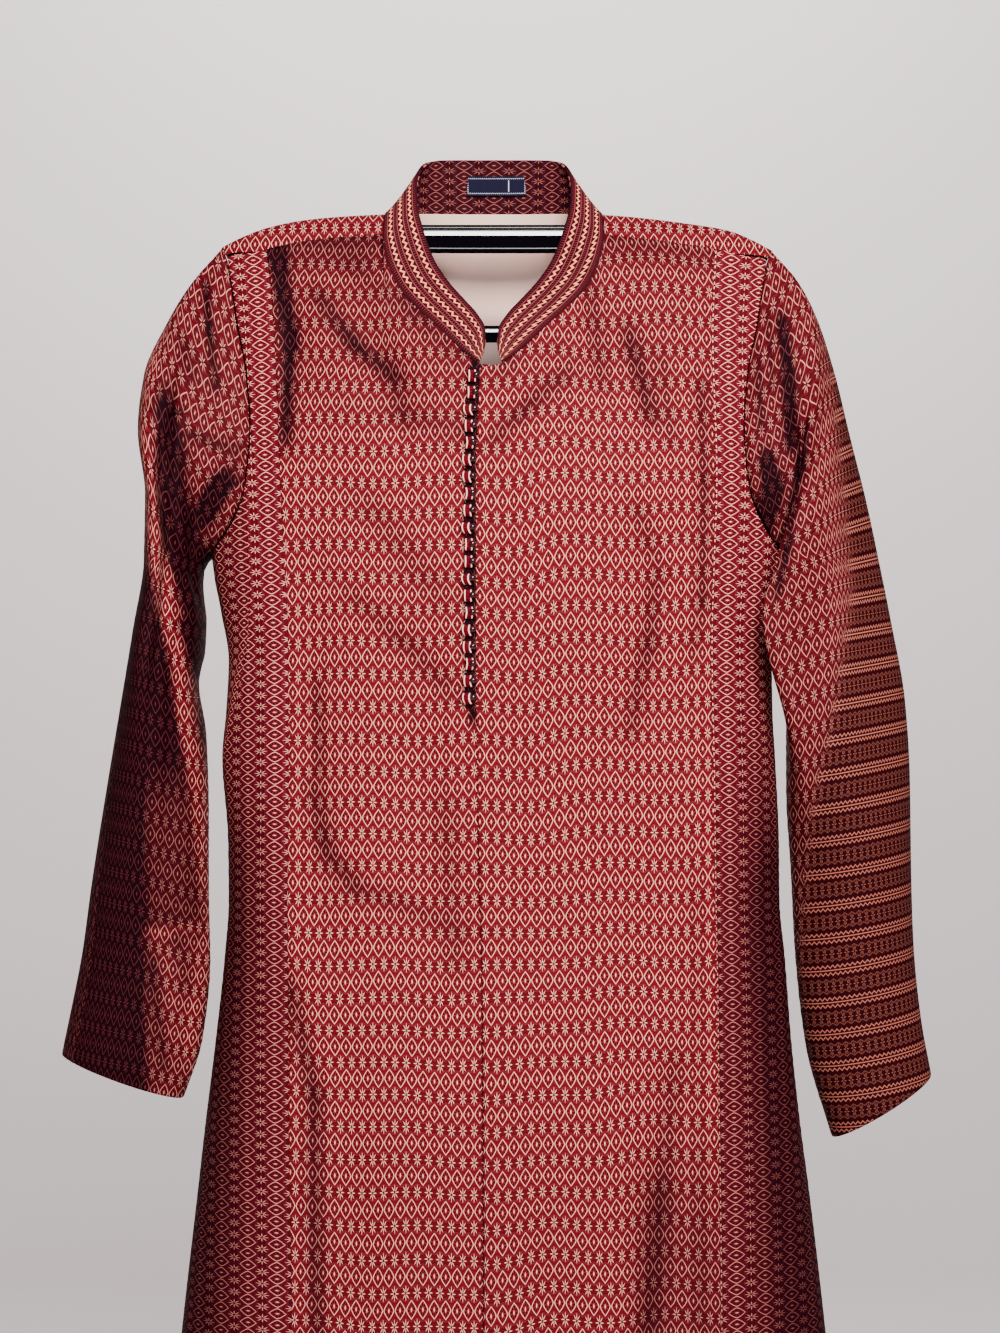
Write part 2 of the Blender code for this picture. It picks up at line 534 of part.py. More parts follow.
BACK_COLUMNS = len(NECK_STATIONS) - 1 + SHOULDER_COLUMNS
BACK_NECK_SHARE = (len(NECK_STATIONS) - 1) / BACK_COLUMNS
BACK_NECK_SHARES = np.linspace(0, BACK_NECK_SHARE, len(NECK_STATIONS))
FRONT_NECK_STATIONS = COLLAR_STATIONS_IN_FRONT + [COLLAR_END, COLLAR_STATIONS]
FRONT_COLUMNS = len(FRONT_NECK_STATIONS) - 1 + SHOULDER_COLUMNS
FRONT_NECK_SHARE = (len(FRONT_NECK_STATIONS) - 1) / FRONT_COLUMNS
FRONT_NECK_SHARES = np.linspace(0, FRONT_NECK_SHARE, len(FRONT_NECK_STATIONS))
FRONT_EXTENSION = 1.0 / FRONT_COLUMNS       # share past the neck seam's end, under the closure
SHOULDER_SEAM_END = 0.2116  # where the shoulder seam meets the armhole
ROWS_TO_TOP = 1.4           # rows of the back crowd towards the ridge


def sleeve(side, turn, share):
    """Point of a sleeve at a turn round the ring (0 outside, 90 in front) and a share of its length."""
    name = "left" if side < 0 else "right"
    rings = SLEEVE_RINGS[name]
    row = np.clip(share, 0, 1) * SLEEVE_RING_COUNT
    numbers = np.arange(SLEEVE_RING_COUNT + 1)

    def column(key, at=row):
        return smooth(at, numbers, rings[key])

    def ellipse(at):
        angle = np.radians(turn)
        middle_x = (column("x_out", at) + column("x_in", at)) / 2
        middle_z = (column("z_out", at) + column("z_in", at)) / 2
        half_x = (column("x_out", at) - column("x_in", at)) / 2
        half_z = (column("z_out", at) - column("z_in", at)) / 2
        in_front = np.sin(angle) > 0
        depth = np.where(in_front, column("front", at), column("back", at))
        lip = np.where(in_front, column("lip", at), 0.0) * np.sin(angle) ** 2
        x = middle_x + half_x * np.cos(angle) - lip
        y = column("y", at) - depth * np.sin(angle)
        z = middle_z + half_z * np.cos(angle)
        return np.stack(np.broadcast_arrays(side * x, y, z), axis=-1)

    points = ellipse(row)
    angle, height = armhole(side, turn)
    fade = (1 - ease(share / ARMHOLE_FADE))[..., None]
    points = points + (body(angle, height) - ellipse(np.zeros_like(row))) * fade
    # soft troughs, pressed towards the middle of the ring
    near = (turn + 180.0) % 360.0 - 180.0
    depth = fold_offset(near / 1000.0, share, [
        (t1 / 1000.0, s1, t2 / 1000.0, s2, d, w / 1000.0) for t1, s1, t2, s2, d, w in
        SLEEVE_FOLDS[name]], stretch=0.35)
    axis = (ellipse_middle(rings, row, side) - points)
    length = np.linalg.norm(axis, axis=-1, keepdims=True)
    return points + axis / length * (depth * ease(share / 0.06))[..., None]


def ellipse_middle(rings, row, side):
    """Middle of a sleeve's ring."""
    numbers = np.arange(SLEEVE_RING_COUNT + 1)
    x = (smooth(row, numbers, rings["x_out"]) + smooth(row, numbers, rings["x_in"])) / 2
    z = (smooth(row, numbers, rings["z_out"]) + smooth(row, numbers, rings["z_in"])) / 2
    y = smooth(row, numbers, rings["y"])
    return np.stack(np.broadcast_arrays(side * x, y, z), axis=-1)


def hind_turn(name, share):
    return smooth(share, np.linspace(0, 1, len(HIND_SEAM[name])), HIND_SEAM[name])


def sleeve_start(share):
    """Leave the seam's space between the armhole and the first ring."""
    return SLEEVE_START + (1 - SLEEVE_START) * share


SLEEVE_START = 0.004


def top_sleeve(side, across, down):
    """The part of a sleeve in front, from the front seam round to the hind seam."""
    name = "left" if side < 0 else "right"
    share = sleeve_start(down)
    end = hind_turn(name, share)
    return sleeve(side, FRONT_ARM_SEAM + (end - FRONT_ARM_SEAM) * across, share)


def under_sleeve(side, across, down):
    """The part of a sleeve behind, from the hind seam round to the front seam."""
    name = "left" if side < 0 else "right"
    share = sleeve_start(down)
    start = hind_turn(name, share)
    return sleeve(side, start + (FRONT_ARM_SEAM - 360.0 - start) * across, share)


def collar(station, up):
    """The stand collar at a signed station, 0 at the nape and negative on -X, up from the neck seam."""
    side = np.where(station < 0, -1.0, 1.0)
    away = np.minimum(np.abs(station), COLLAR_STATIONS)
    neck_x, neck_z, behind = neck_seam(side, away)
    low = np.where(behind[..., None], body_at(neck_x, neck_z, True), body_at(neck_x, neck_z))
    top_z = collar_column(away, "top_z")
    high = np.stack(np.broadcast_arrays(neck_centre(top_z) + side * collar_column(away, "top_x"),
                                        collar_column(away, "top_y"), top_z), axis=-1)
    rise = high - low
    height = np.linalg.norm(rise, axis=-1, keepdims=True)
    return low + rise / height * (COLLAR_FOOT + (height - COLLAR_FOOT) * up[..., None])


# ---------------------------------------------------------------- solids
def make_object(name, vertices, faces, material):
    mesh = bpy.data.meshes.new(name)
    mesh.from_pydata([tuple(map(float, v)) for v in vertices], [], faces)
    mesh.validate()
    mesh.update()
    mesh.materials.append(MATERIAL_OF[material])
    mesh.shade_smooth()
    mesh.set_sharp_from_angle(angle=math.radians(50))
    part = bpy.data.objects.new(name, mesh)
    bpy.context.scene.collection.objects.link(part)
    return part


NORMAL_STEP = 1e-3          # share of a panel's length over which its slope is taken


def surface_grid(function, across, down, trim):
    """Points and outward normals of a panel, its edges drawn in by half a seam's space."""
    grid_across, grid_down = np.meshgrid(across, down)
    step_across = 1e-3 * (across[-1] - across[0])
    along_across = (function(grid_across + step_across, grid_down)
                    - function(grid_across - step_across, grid_down))
    along_down = (function(grid_across, grid_down + NORMAL_STEP)
                  - function(grid_across, grid_down - NORMAL_STEP))
    normal = np.cross(along_across, along_down)
    normal /= np.linalg.norm(normal, axis=-1, keepdims=True)
    points = function(grid_across, grid_down)
    whole = slice(None)
    for edge, inner in (((whole, 0), (whole, 1)), ((whole, -1), (whole, -2)),
                        ((0, whole), (1, whole)), ((-1, whole), (-2, whole))):
        towards = points[inner] - points[edge]
        towards /= np.linalg.norm(towards, axis=-1, keepdims=True)
        points[edge] = points[edge] + towards * trim
    return points, normal


def wall(name, function, across, down, material, thickness=CLOTH, lift=0.0, flip=False,
         trim=SEAM_GAP * 0.7):
    """A cloth piece: the panel's surface outside, and the same surface moved in by its thickness."""
    points, normal = surface_grid(function, np.asarray(across, float), np.asarray(down, float), trim)
    if flip:
        normal = -normal
    outer = points + normal * lift
    inner = outer - normal * thickness
    rows, columns = points.shape[0], points.shape[1]
    index = np.arange(rows * columns).reshape(rows, columns)
    rear = index + rows * columns
    faces = []
    for r in range(rows - 1):
        for c in range(columns - 1):
            for grid, turned in ((index, False), (rear, True)):
                a, b = grid[r, c], grid[r, c + 1]
                d, e = grid[r + 1, c], grid[r + 1, c + 1]
                faces += [(a, e, b), (a, d, e)] if turned else [(a, b, e), (a, e, d)]
    rim = ([(0, c) for c in range(columns)] + [(r, columns - 1) for r in range(1, rows)]
           + [(rows - 1, c) for c in range(columns - 2, -1, -1)]
           + [(r, 0) for r in range(rows - 2, 0, -1)])
    for here, there in zip(rim, rim[1:] + rim[:1]):
        faces.append((index[there], index[here], rear[here], rear[there]))
    faces = [tuple(int(i) for i in face) for face in faces]
    if flip:
        faces = [face[::-1] for face in faces]
    vertices = np.concatenate((outer.reshape(-1, 3), inner.reshape(-1, 3)))
    return make_object(name, vertices, faces, material)


MATERIAL_OF = {}


def lining_panel(across, down):
    """The strip of lining inside the back, from under the neck seam down."""
    out = (across - 0.5) * 2
    side = np.where(out < 0, -1.0, 1.0)
    top_x, top_z, _ = neck_seam(side, np.abs(out) * LINING_STATION)
    low_x = out * LINING_HALF
    z = top_z - LINING_DROP + (LINING_BOTTOM - top_z + LINING_DROP) * down
    x = top_x + (low_x - top_x) * ease(down / 0.6)
    return body_at(x, z, True)


LINING_STATION, LINING_HALF = 3.1, 0.100
LINING_DROP, LINING_BOTTOM = 0.0012, -0.1500


def label_panel(station, down):
    """The neck label, on the collar's facing at the nape."""
    return collar(station, LABEL_UP[1] + (LABEL_UP[0] - LABEL_UP[1]) * down)


LABEL_UP = (0.30, 0.68)     # its lower and upper edge on the collar
LABEL_CLOTH = 0.0008


def tube(name, path, radius, sides, material):
    """A cord of round section along a path, with flat ends."""
    path = np.asarray(path, float)
    along = np.gradient(path, axis=0)
    along /= np.linalg.norm(along, axis=1, keepdims=True)
    up = np.array([0.0, -1.0, 0.0])
    across = np.cross(along, up)
    across /= np.linalg.norm(across, axis=1, keepdims=True)
    normal = np.cross(across, along)
    turns = np.arange(sides) * 2 * math.pi / sides
    rings = (path[:, None] + radius * (np.cos(turns)[None, :, None] * across[:, None]
                                       + np.sin(turns)[None, :, None] * normal[:, None]))
    count = len(path)
    faces = [(r * sides + k, (r + 1) * sides + k, (r + 1) * sides + (k + 1) % sides,
              r * sides + (k + 1) % sides) for r in range(count - 1) for k in range(sides)]
    faces.append(tuple(range(sides)))
    faces.append(tuple((count - 1) * sides + k for k in range(sides - 1, -1, -1)))
    return make_object(name, rings.reshape(-1, 3), faces, material)


def cloth_height(trees, x, z):
    """y of the nearest cloth in front at x and z."""
    hits = [tree.ray_cast(Vector((x, -0.3, z)), Vector((0, 1, 0)))[0] for tree in trees]
    return min(hit.y for hit in hits if hit is not None)


def closure(fronts):
    """Rouleau loops along the overlapping edge, each round a ball button."""
    trees = [BVHTree.FromPolygons([v.co for v in part.data.vertices],
                                  [p.vertices for p in part.data.polygons]) for part in fronts]
    for number in range(PAIRS):
        z = CLOSURE_TOP + (CLOSURE_BOTTOM - CLOSURE_TOP) * number / (PAIRS - 1)
        edge = float(smooth(z, FRONT_EDGE["z"], FRONT_EDGE["x"]))
        bend_x = edge - LOOP_REACH + LOOP_HALF
        leg = np.linspace(edge + LOOP_ROOT, bend_x, 3)
        turns = np.linspace(0, math.pi, 5)[1:-1]
        flat = ([(x, z + LOOP_HALF) for x in leg]
                + [(bend_x - LOOP_HALF * math.sin(t), z + LOOP_HALF * math.cos(t)) for t in turns]
                + [(x, z - LOOP_HALF) for x in leg[::-1]])
        level = min(cloth_height(trees, x, zz) for x, zz in flat) - CORD_RADIUS - CLOSURE_GAP
        tube(f"loop_{number + 1:02d}", [(x, level, zz) for x, zz in flat], CORD_RADIUS, 5, "rouleau")
        ball_x = edge - BALL_REACH
        centre = Vector((ball_x, min(level - 0.0022, cloth_height(trees, ball_x, z)
                                     - BALL_RADIUS - CLOSURE_GAP), z))
        ball(f"button_{number + 1:02d}", centre)


CLOSURE_GAP = 0.0004
LOOP_ROOT = 0.0030          # the loops' ends lie this far on the overlapping front
BALL_REACH = 0.0033         # a ball's middle, from the edge


def ball(name, centre):
    """A cloth-covered ball, eight sides and six rings, one side towards the front."""
    sides, rings = 8, 6
    vertices = [centre + Vector((0, -BALL_RADIUS, 0))]
    for r in range(1, rings):
        tilt = math.pi * r / rings
        for k in range(sides):
            turn = 2 * math.pi * k / sides
            vertices.append(centre + BALL_RADIUS * Vector((math.sin(tilt) * math.cos(turn),
                                                           -math.cos(tilt),
                                                           math.sin(tilt) * math.sin(turn))))
    vertices.append(centre + Vector((0, BALL_RADIUS, 0)))
    last = len(vertices) - 1
    faces = []
    for k in range(sides):
        after = (k + 1) % sides
        faces.append((0, 1 + k, 1 + after))
        faces.append((last, last - sides + after, last - sides + k))
        for r in range(rings - 2):
            low = 1 + r * sides
            faces.append((low + k, low + sides + k, low + sides + after, low + after))
    return make_object(name, vertices, faces, "button")


def hanger():
    """Flat black hanger: a top bar whose arms fill the shoulders, and a trouser bar below."""
    def contour(x):
        away = abs(x)
        deep = float(smooth(0.0, BODY_RINGS["z"], BODY_RINGS["back"]))
        deep *= (1 - (away / 0.222) ** ROUNDNESS) ** (1 / ROUNDNESS)
        under = RIDGE_FALL * (1 - math.sqrt(max(0.0, 1 - (BAR_DEPTH / 2 / deep) ** 2)))
        cloth = float(ridge(np.float64(x))) - 1.15 * CLOTH - FACET_SAG - under
        cloth -= ARM_DROP * float(ease((away - 0.140) / 0.050))
        lift = float(ease((away - TOP_BAR_HALF) / 0.022))
        flat = TOP_BAR_TOP
        return flat + (cloth - flat) * lift if cloth > flat else min(cloth, flat)

    shares = np.concatenate((np.linspace(-1, -0.36, 8), np.linspace(-0.2, 0.2, 3),
                             np.linspace(0.36, 1, 8)))
    low = TROUSER_BAR_Z - TROUSER_BAR_HEIGHT / 2
    high = TROUSER_BAR_Z + TROUSER_BAR_HEIGHT / 2
    outer = [(s * HANGER_HALF, contour(s * HANGER_HALF), BAR_DEPTH / 2) for s in shares]
    outer += [(s * TROUSER_BAR_HALF, low, TROUSER_BAR_DEPTH / 2) for s in shares[::-1]]
    hole = HANGER_HALF - END_WIDTH
    inner = [(s * hole, contour(s * hole) - BAR_HEIGHT * (1 - 0.35 * abs(s) ** 3), BAR_DEPTH / 2)
             for s in shares]
    inner += [(s * (TROUSER_BAR_HALF - END_WIDTH * 0.4), high, TROUSER_BAR_DEPTH / 2)
              for s in shares[::-1]]
    count = len(outer)
    vertices = []
    for depth_sign in (-1, 1):
        for loop in (outer, inner):
            vertices += [(x, depth_sign * d, z) for x, z, d in loop]
    faces = []
    for k in range(count):
        after = (k + 1) % count
        front_out, front_in = (k, after), (count + k, count + after)
        rear_out, rear_in = (2 * count + k, 2 * count + after), (3 * count + k, 3 * count + after)
        faces.append((front_out[0], front_in[0], front_in[1], front_out[1]))
        faces.append((rear_out[0], rear_out[1], rear_in[1], rear_in[0]))
        faces.append((front_out[0], front_out[1], rear_out[1], rear_out[0]))
        faces.append((front_in[0], rear_in[0], rear_in[1], front_in[1]))
    return make_object("hanger", vertices, faces, "hanger")


FACET_SAG = 0.0026          # the faceted cloth runs this far inside the true ridge
ARM_DROP = 0.0020           # the tips of the arms sit a little lower still
TOP_BAR_TOP = 0.0090
TROUSER_BAR_HALF, TROUSER_BAR_DEPTH = 0.1680, 0.0070
END_WIDTH = 0.0160


def front_rows(side):
    """Rows of the fronts and side fronts: at the armhole's turns, then at the listed heights."""
    turns = [t for t in ARMHOLE_TURNS if SHOULDER_TURN <= t < 130]
    heights = [float(armhole(side, np.float64(t))[1]) for t in turns] + FRONT_HEIGHTS + [HEM_Z]
    heights = np.array(heights)
    return (heights - heights[0]) / (HEM_Z - heights[0])


def side_back_columns(side):
    """Columns of a side back, at the armhole's turns."""
    first, last = side_join(side)[0], 360.0 - BACK_SEAM_TURN
    turns = [first] + [t for t in ARMHOLE_TURNS if first + 8 < t < last - 1] + [last]
    return (np.array(turns) - first) / (last - first)


def side_back_rows():
    """Rows of the side backs, level with the side fronts' rows at the -X side seam."""
    join = side_join(-1.0)[1]
    heights = np.array([join] + FRONT_HEIGHTS + [HEM_Z])
    return (heights - join) / (HEM_Z - join)


def back_rows():
    """Rows of the back: at the armhole's turns on the outer edge, then level with the side back."""
    dense = np.linspace(0, 1, 4001)
    edge_z = back_panel(np.zeros_like(dense), dense)[:, 2]
    top = int(np.argmax(edge_z))
    rows = [0.0]
    for turn in (11.0, 0.0):
        z = float(armhole(-1.0, np.float64(turn))[1])
        rows.append(float(np.interp(z, edge_z[:top + 1], dense[:top + 1])))
    last = float(armhole(-1.0, np.float64(BACK_SEAM_TURN))[1])
    heights = [float(armhole(-1.0, np.float64(t))[1]) for t in (9, 18, 38, 55, 70)]
    heights += list(last + (HEM_Z - last) * side_back_rows()[:-1])
    rows += list(np.interp(-np.array(heights), -edge_z[top:], dense[top:]))
    return np.array(rows + [1.0])


def sleeve_columns(first, last):
    """Columns of a sleeve piece, at the armhole's turns, as shares of its width."""
    turns = [t for t in ARMHOLE_TURNS if first <= t <= last]
    return 1 - (np.array(turns) - first) / (last - first)


def build():
    for old in list(bpy.data.objects):
        bpy.data.objects.remove(old, do_unlink=True)
    for name, (colour, roughness, metallic) in MATERIALS.items():
        material = bpy.data.materials.new(name)
        material.use_nodes = True
        shader = material.node_tree.nodes["Principled BSDF"]
        shader.inputs["Base Color"].default_value = colour
        shader.inputs["Roughness"].default_value = roughness
        shader.inputs["Metallic"].default_value = metallic
        MATERIAL_OF[name] = material
    fronts = []
    front_columns = np.linspace(0, 1, FRONT_COLUMNS + 1)
    side_columns = np.linspace(0, 1, SIDE_FRONT_COLUMNS + 1)
    back_columns = np.linspace(0, 1, 2 * BACK_COLUMNS + 1)
    sleeve_rows = np.linspace(0, 1, SLEEVE_ROWS + 1)
    for name, side in SIDES.items():
        flip = side > 0
        rows = front_rows(side)
        fronts.append(wall("front_" + name, lambda a, d, s=side: front_panel(s, a, d),
                           front_columns, rows, "brocade", flip=flip))
        wall("side_front_" + name, lambda a, d, s=side: side_front_panel(s, a, d), side_columns,
             rows, "brocade", flip=flip, trim=SIDE_TRIM)
        wall("side_back_" + name, lambda a, d, s=side: side_back_panel(s, a, d),
             side_back_columns(side), side_back_rows(), "brocade", flip=flip, trim=SIDE_TRIM)
        wall("top_sleeve_" + name, lambda a, d, s=side: top_sleeve(s, a, d),
             sleeve_columns(-55.0, FRONT_ARM_SEAM)[::-1], sleeve_rows, "brocade", flip=flip,
             trim=SLEEVE_TRIM)
        wall("under_sleeve_" + name, lambda a, d, s=side: under_sleeve(s, a, d),
             sleeve_columns(FRONT_ARM_SEAM, 305.0)[::-1], sleeve_rows, "brocade", flip=flip,
             trim=SLEEVE_TRIM)
    wall("back_left", back_panel, back_columns[:BACK_COLUMNS + 1], back_rows(), "brocade")
    wall("back_right", back_panel, back_columns[BACK_COLUMNS:], back_rows(), "brocade")
    wall("back_lining", lining_panel, np.linspace(0, 1, 13), np.linspace(0, 1, 10) ** 1.3, "lining",
         thickness=LINING_CLOTH, lift=-(CLOTH + LINING_SPACE))
    away = NECK_STATIONS[1:] + COLLAR_STATIONS_IN_FRONT[1:] + [COLLAR_END]
    stations = [-a for a in away[::-1]] + [0.0] + away
    heights = np.linspace(0, 1, COLLAR_ROWS + 1)
    wall("collar_outer", lambda a, d: collar(a, 1 - d), stations, heights, "collar_brocade",
         thickness=COLLAR_CLOTH)
    wall("collar_facing", lambda a, d: collar(a, 1 - d), stations, heights, "brocade",
         thickness=COLLAR_CLOTH, lift=-(COLLAR_CLOTH + SEAM_GAP))
    wall("neck_label", label_panel, [-0.70, -0.35, 0.0, 0.35, 0.70], [0.0, 0.5, 1.0], "label",
         thickness=LABEL_CLOTH, lift=-2 * (COLLAR_CLOTH + SEAM_GAP))
    closure(fronts)
    hanger()


LINING_CLOTH = 0.0010
LINING_SPACE = 0.0027       # between the back and its lining
SLEEVE_TRIM, SIDE_TRIM = 0.0004, 0.0004

build()
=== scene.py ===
"""A brocade sherwani coat on a slim two-bar hanger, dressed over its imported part.  Metres."""
import math

import bpy
import numpy as np
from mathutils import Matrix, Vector


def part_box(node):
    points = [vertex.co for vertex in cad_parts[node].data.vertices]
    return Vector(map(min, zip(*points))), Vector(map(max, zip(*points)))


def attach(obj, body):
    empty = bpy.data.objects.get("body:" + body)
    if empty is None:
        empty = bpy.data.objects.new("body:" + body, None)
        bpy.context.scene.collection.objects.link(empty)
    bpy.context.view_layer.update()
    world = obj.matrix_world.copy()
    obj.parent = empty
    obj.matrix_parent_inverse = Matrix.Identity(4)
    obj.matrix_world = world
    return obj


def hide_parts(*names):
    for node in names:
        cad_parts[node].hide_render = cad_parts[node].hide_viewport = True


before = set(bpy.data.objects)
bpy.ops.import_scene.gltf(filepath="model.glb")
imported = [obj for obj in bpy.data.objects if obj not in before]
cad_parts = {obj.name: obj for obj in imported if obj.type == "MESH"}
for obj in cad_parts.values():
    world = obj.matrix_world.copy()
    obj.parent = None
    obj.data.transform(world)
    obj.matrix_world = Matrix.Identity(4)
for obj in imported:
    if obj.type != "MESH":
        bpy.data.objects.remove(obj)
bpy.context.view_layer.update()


# ---------------------------------------------------------------- fronts
# Two fronts of crimson jacquard, cut with the rows level.  The +X one laps over the other and
# turns under at the opening; the cloth sags a little towards its edge.
class Value:
    """A shader socket that can be calculated with."""
    def __init__(self, tree, socket):
        self.tree, self.socket = tree, socket

    def node(self, kind, *inputs, **settings):
        made = self.tree.nodes.new(kind)
        for key, setting in settings.items():
            setattr(made, key, setting)
        for number, value in enumerate(inputs):
            if isinstance(value, Value):
                self.tree.links.new(value.socket, made.inputs[number])
            elif value is not None:
                made.inputs[number].default_value = value
        return Value(self.tree, made.outputs[0])

    def maths(self, operation, *others):
        return self.node("ShaderNodeMath", self, *others, operation=operation)

    def __rsub__(self, other):
        return (self * -1.0) + other

    def centred(self):
        return self.maths("FRACT") - 0.5

    def step(self, low, high):
        """0 under low, 1 over high, a soft edge between; low may be the larger one."""
        share = ((self - low) * (1.0 / (high - low))).above(0.0).below(1.0)
        return share * share * (3.0 - 2.0 * share)

    def band(self, low, high, soft):
        return self.step(low - soft, low + soft) * self.step(high + soft, high - soft)

    def mix(self, first, second):
        """first where this is 0, second where it is 1, as colours."""
        made = self.tree.nodes.new("ShaderNodeMix")
        made.data_type = "RGBA"
        self.tree.links.new(self.socket, made.inputs["Factor"])
        sockets = [s for s in made.inputs if s.type == "RGBA"]
        for socket, colour in zip(sockets, (first, second)):
            if isinstance(colour, Value):
                self.tree.links.new(colour.socket, socket)
            else:
                socket.default_value = (*colour, 1.0)
        return Value(self.tree, [s for s in made.outputs if s.type == "RGBA"][0])


for method, operation in {
        "__add__": "ADD", "__radd__": "ADD", "__sub__": "SUBTRACT", "__mul__": "MULTIPLY",
        "__rmul__": "MULTIPLY", "__abs__": "ABSOLUTE", "power": "POWER", "above": "MAXIMUM",
        "below": "MINIMUM", "sin": "SINE"}.items():
    setattr(Value, method, lambda self, *others, do=operation: self.maths(do, *others))


def principled(name, roughness, **constants):
    material = bpy.data.materials.new(name)
    material.use_nodes = True
    shader = material.node_tree.nodes["Principled BSDF"]
    for key, value in dict(constants, Roughness=roughness).items():
        shader.inputs[key.replace("_", " ")].default_value = value
    return material, shader


def woven(name, roughness, **constants):
    """A principled material, and its two texture coordinates in metres of cloth."""
    material, shader = principled(name, roughness, **constants)
    tree = material.node_tree
    place = Value(tree, None).node("ShaderNodeUVMap", uv_map="cloth")
    apart = place.node("ShaderNodeSeparateXYZ", place).socket.node
    return material, shader, Value(tree, apart.outputs[0]), Value(tree, apart.outputs[1])


def noise(across, along, scale, detail, roughness, dimensions="2D"):
    place = across.node("ShaderNodeCombineXYZ", across, along, 0.0)
    return across.node("ShaderNodeTexNoise", place, None, scale, detail, roughness,
                       noise_dimensions=dimensions)


def attribute(tree, name):
    made = Value(tree, None).node("ShaderNodeAttribute", attribute_name=name)
    return Value(tree, made.socket.node.outputs["Fac"])


def dress(shader, colour, height, depth, strength):
    """Give a shader its colour, and a weave that stands up by depth."""
    links = colour.tree.links
    bump = colour.tree.nodes.new("ShaderNodeBump")
    bump.inputs["Strength"].default_value = strength
    bump.inputs["Distance"].default_value = depth
    links.new(height.socket, bump.inputs["Height"])
    links.new(bump.outputs[0], shader.inputs["Normal"])
    links.new(colour.socket, shader.inputs["Base Color"])


PITCH, REPEAT = 0.0085, 0.0242      # from oval to oval, and from one row of ovals to the next
MATT = 0.02                         # specular level of dull silk


def motifs(across, along):
    """Masks of the weave: rows of pointed ovals and of eight-petalled flowers take turns.

    They are the light threads, the dark dots, the zigzags between the rows and their edges, the
    light threads where the cloth turns away, the rows of ovals, and the ovals' insides.
    """
    tall = REPEAT / PITCH
    s, r = across * (1 / PITCH), along * (1 / REPEAT)
    x, y = s.centred(), r.centred() * tall
    ax, ay = abs(x), abs(y)
    oval = ax * (1 / 0.455) + (ay * (1 / 0.83)).power(1.38)
    light = oval.band(0.90, 1.02, 0.035)
    inner_x, inner_y = x * (1 / 0.455), y * (1 / 0.80)
    ring = (inner_x * inner_x + inner_y * inner_y).maths("SQRT")
    beads = (inner_y.maths("ARCTAN2", inner_x) * 8.0).sin()
    dark = ring.band(0.36, 0.72, 0.05) * beads.step(-0.3, 0.15) * oval.step(0.86, 0.78)
    light = light.above((ax * (1 / 0.058) + ay * (1 / 0.23)).step(1.15, 0.8))
    fx, fy = (s + 0.5).centred() * (1 / 0.345), (r + 0.5).centred() * (tall / 0.64)
    out = (fx * fx + fy * fy).maths("SQRT")
    petal = abs((fx.maths("ARCTAN2", fy) * 4.0).sin()) * out
    width = (out - 0.14) * (1.05 - out) * 1.20
    light = light.above((petal - width).step(0.09, -0.07) * out.step(0.15, 0.24))
    dark = dark.above(out.step(0.19, 0.10))
    zigzag = ay + ax * 0.5
    edge = zigzag.band(0.80, 0.86, 0.03).above(zigzag.band(1.13, 1.20, 0.03))
    oval_row = ay.step(1.05, 0.75)
    braid = abs(ay - 0.20 - abs((s * 1.5).centred()) * 0.50).step(0.085, 0.035)
    braid = braid.above(ay.step(0.07, 0.02)) * oval_row * 0.92
    turned_away = braid.above(light * (1.0 - oval_row) * 0.66)
    turned_away = turned_away.above(zigzag.band(0.98, 1.06, 0.03) * 0.34)
    return (light, dark, zigzag.band(0.88, 1.10, 0.04), edge, turned_away, oval_row,
            oval.step(0.88, 0.80))


def brocade(name, ground=(0.108, 0.0036, 0.0058), thread=(1.0, 0.42, 0.34), base_shade=0.0):
    """Silk with painted shade: it goes to maroon and black where its shade attribute says,
    and its light threads take a painted copper sheen over a darker ground towards the cuffs."""
    material, shader, across, along = woven(name, 0.7, Specular_IOR_Level=MATT)
    light, dark, bright, edge, turned_away, oval_row, inside = motifs(across, along)
    speck = noise(across * 1500.0, along * 1500.0, 1.0, 2.0, 0.6).step(0.40, 0.62)
    shade = (attribute(across.tree, "shade") + base_shade).above(0.0).below(1.0)
    painted_copper_sheen = attribute(across.tree, "painted_copper_sheen")
    far = painted_copper_sheen.step(0.30, 0.95)
    light = light * (1.0 - far) + turned_away * far
    rosy = (1.35 * ground[0], ground[1] + 0.004, ground[2] + 0.010)
    cloth = oval_row.mix(tuple(0.84 * c for c in ground), tuple(1.16 * c for c in ground))
    # the last pair is painted shade: the ground goes dark where the copper sheen is painted
    for mask, colour in (
            (bright * 0.75, rosy), (inside * 0.28, tuple(2.4 * c + 0.012 for c in ground)),
            (edge * 0.85, tuple(0.25 * c for c in ground)), (dark, (0.014, 0.001, 0.003)),
            ((1.0 - speck) * 0.40, (0.036, 0.002, 0.005)),
            (painted_copper_sheen * 0.93, (0.0150, 0.0006, 0.0016))):
        cloth = mask.mix(cloth, colour)
    # painted shade dims the light threads; where the sheen attribute says they take a painted
    # copper sheen
    bold = light * (1.0 - shade * 0.30) * (0.90 + speck * 0.10) * (0.92 + oval_row * 0.08)
    cloth = bold.mix(cloth, painted_copper_sheen.mix(thread, (0.60, 0.180, 0.118)))
    # painted shade: the maroon and black that the shade attribute mixes in
    deep = (light * 0.8).mix((0.0060, 0.0003, 0.0016), (0.100, 0.018, 0.020))
    across.tree.links.new((0.66 - light * 0.14).socket, shader.inputs["Roughness"])
    dress(shader, shade.mix(cloth, deep), light * 0.8 + speck * 0.35, 0.00016, 0.55)
    return material


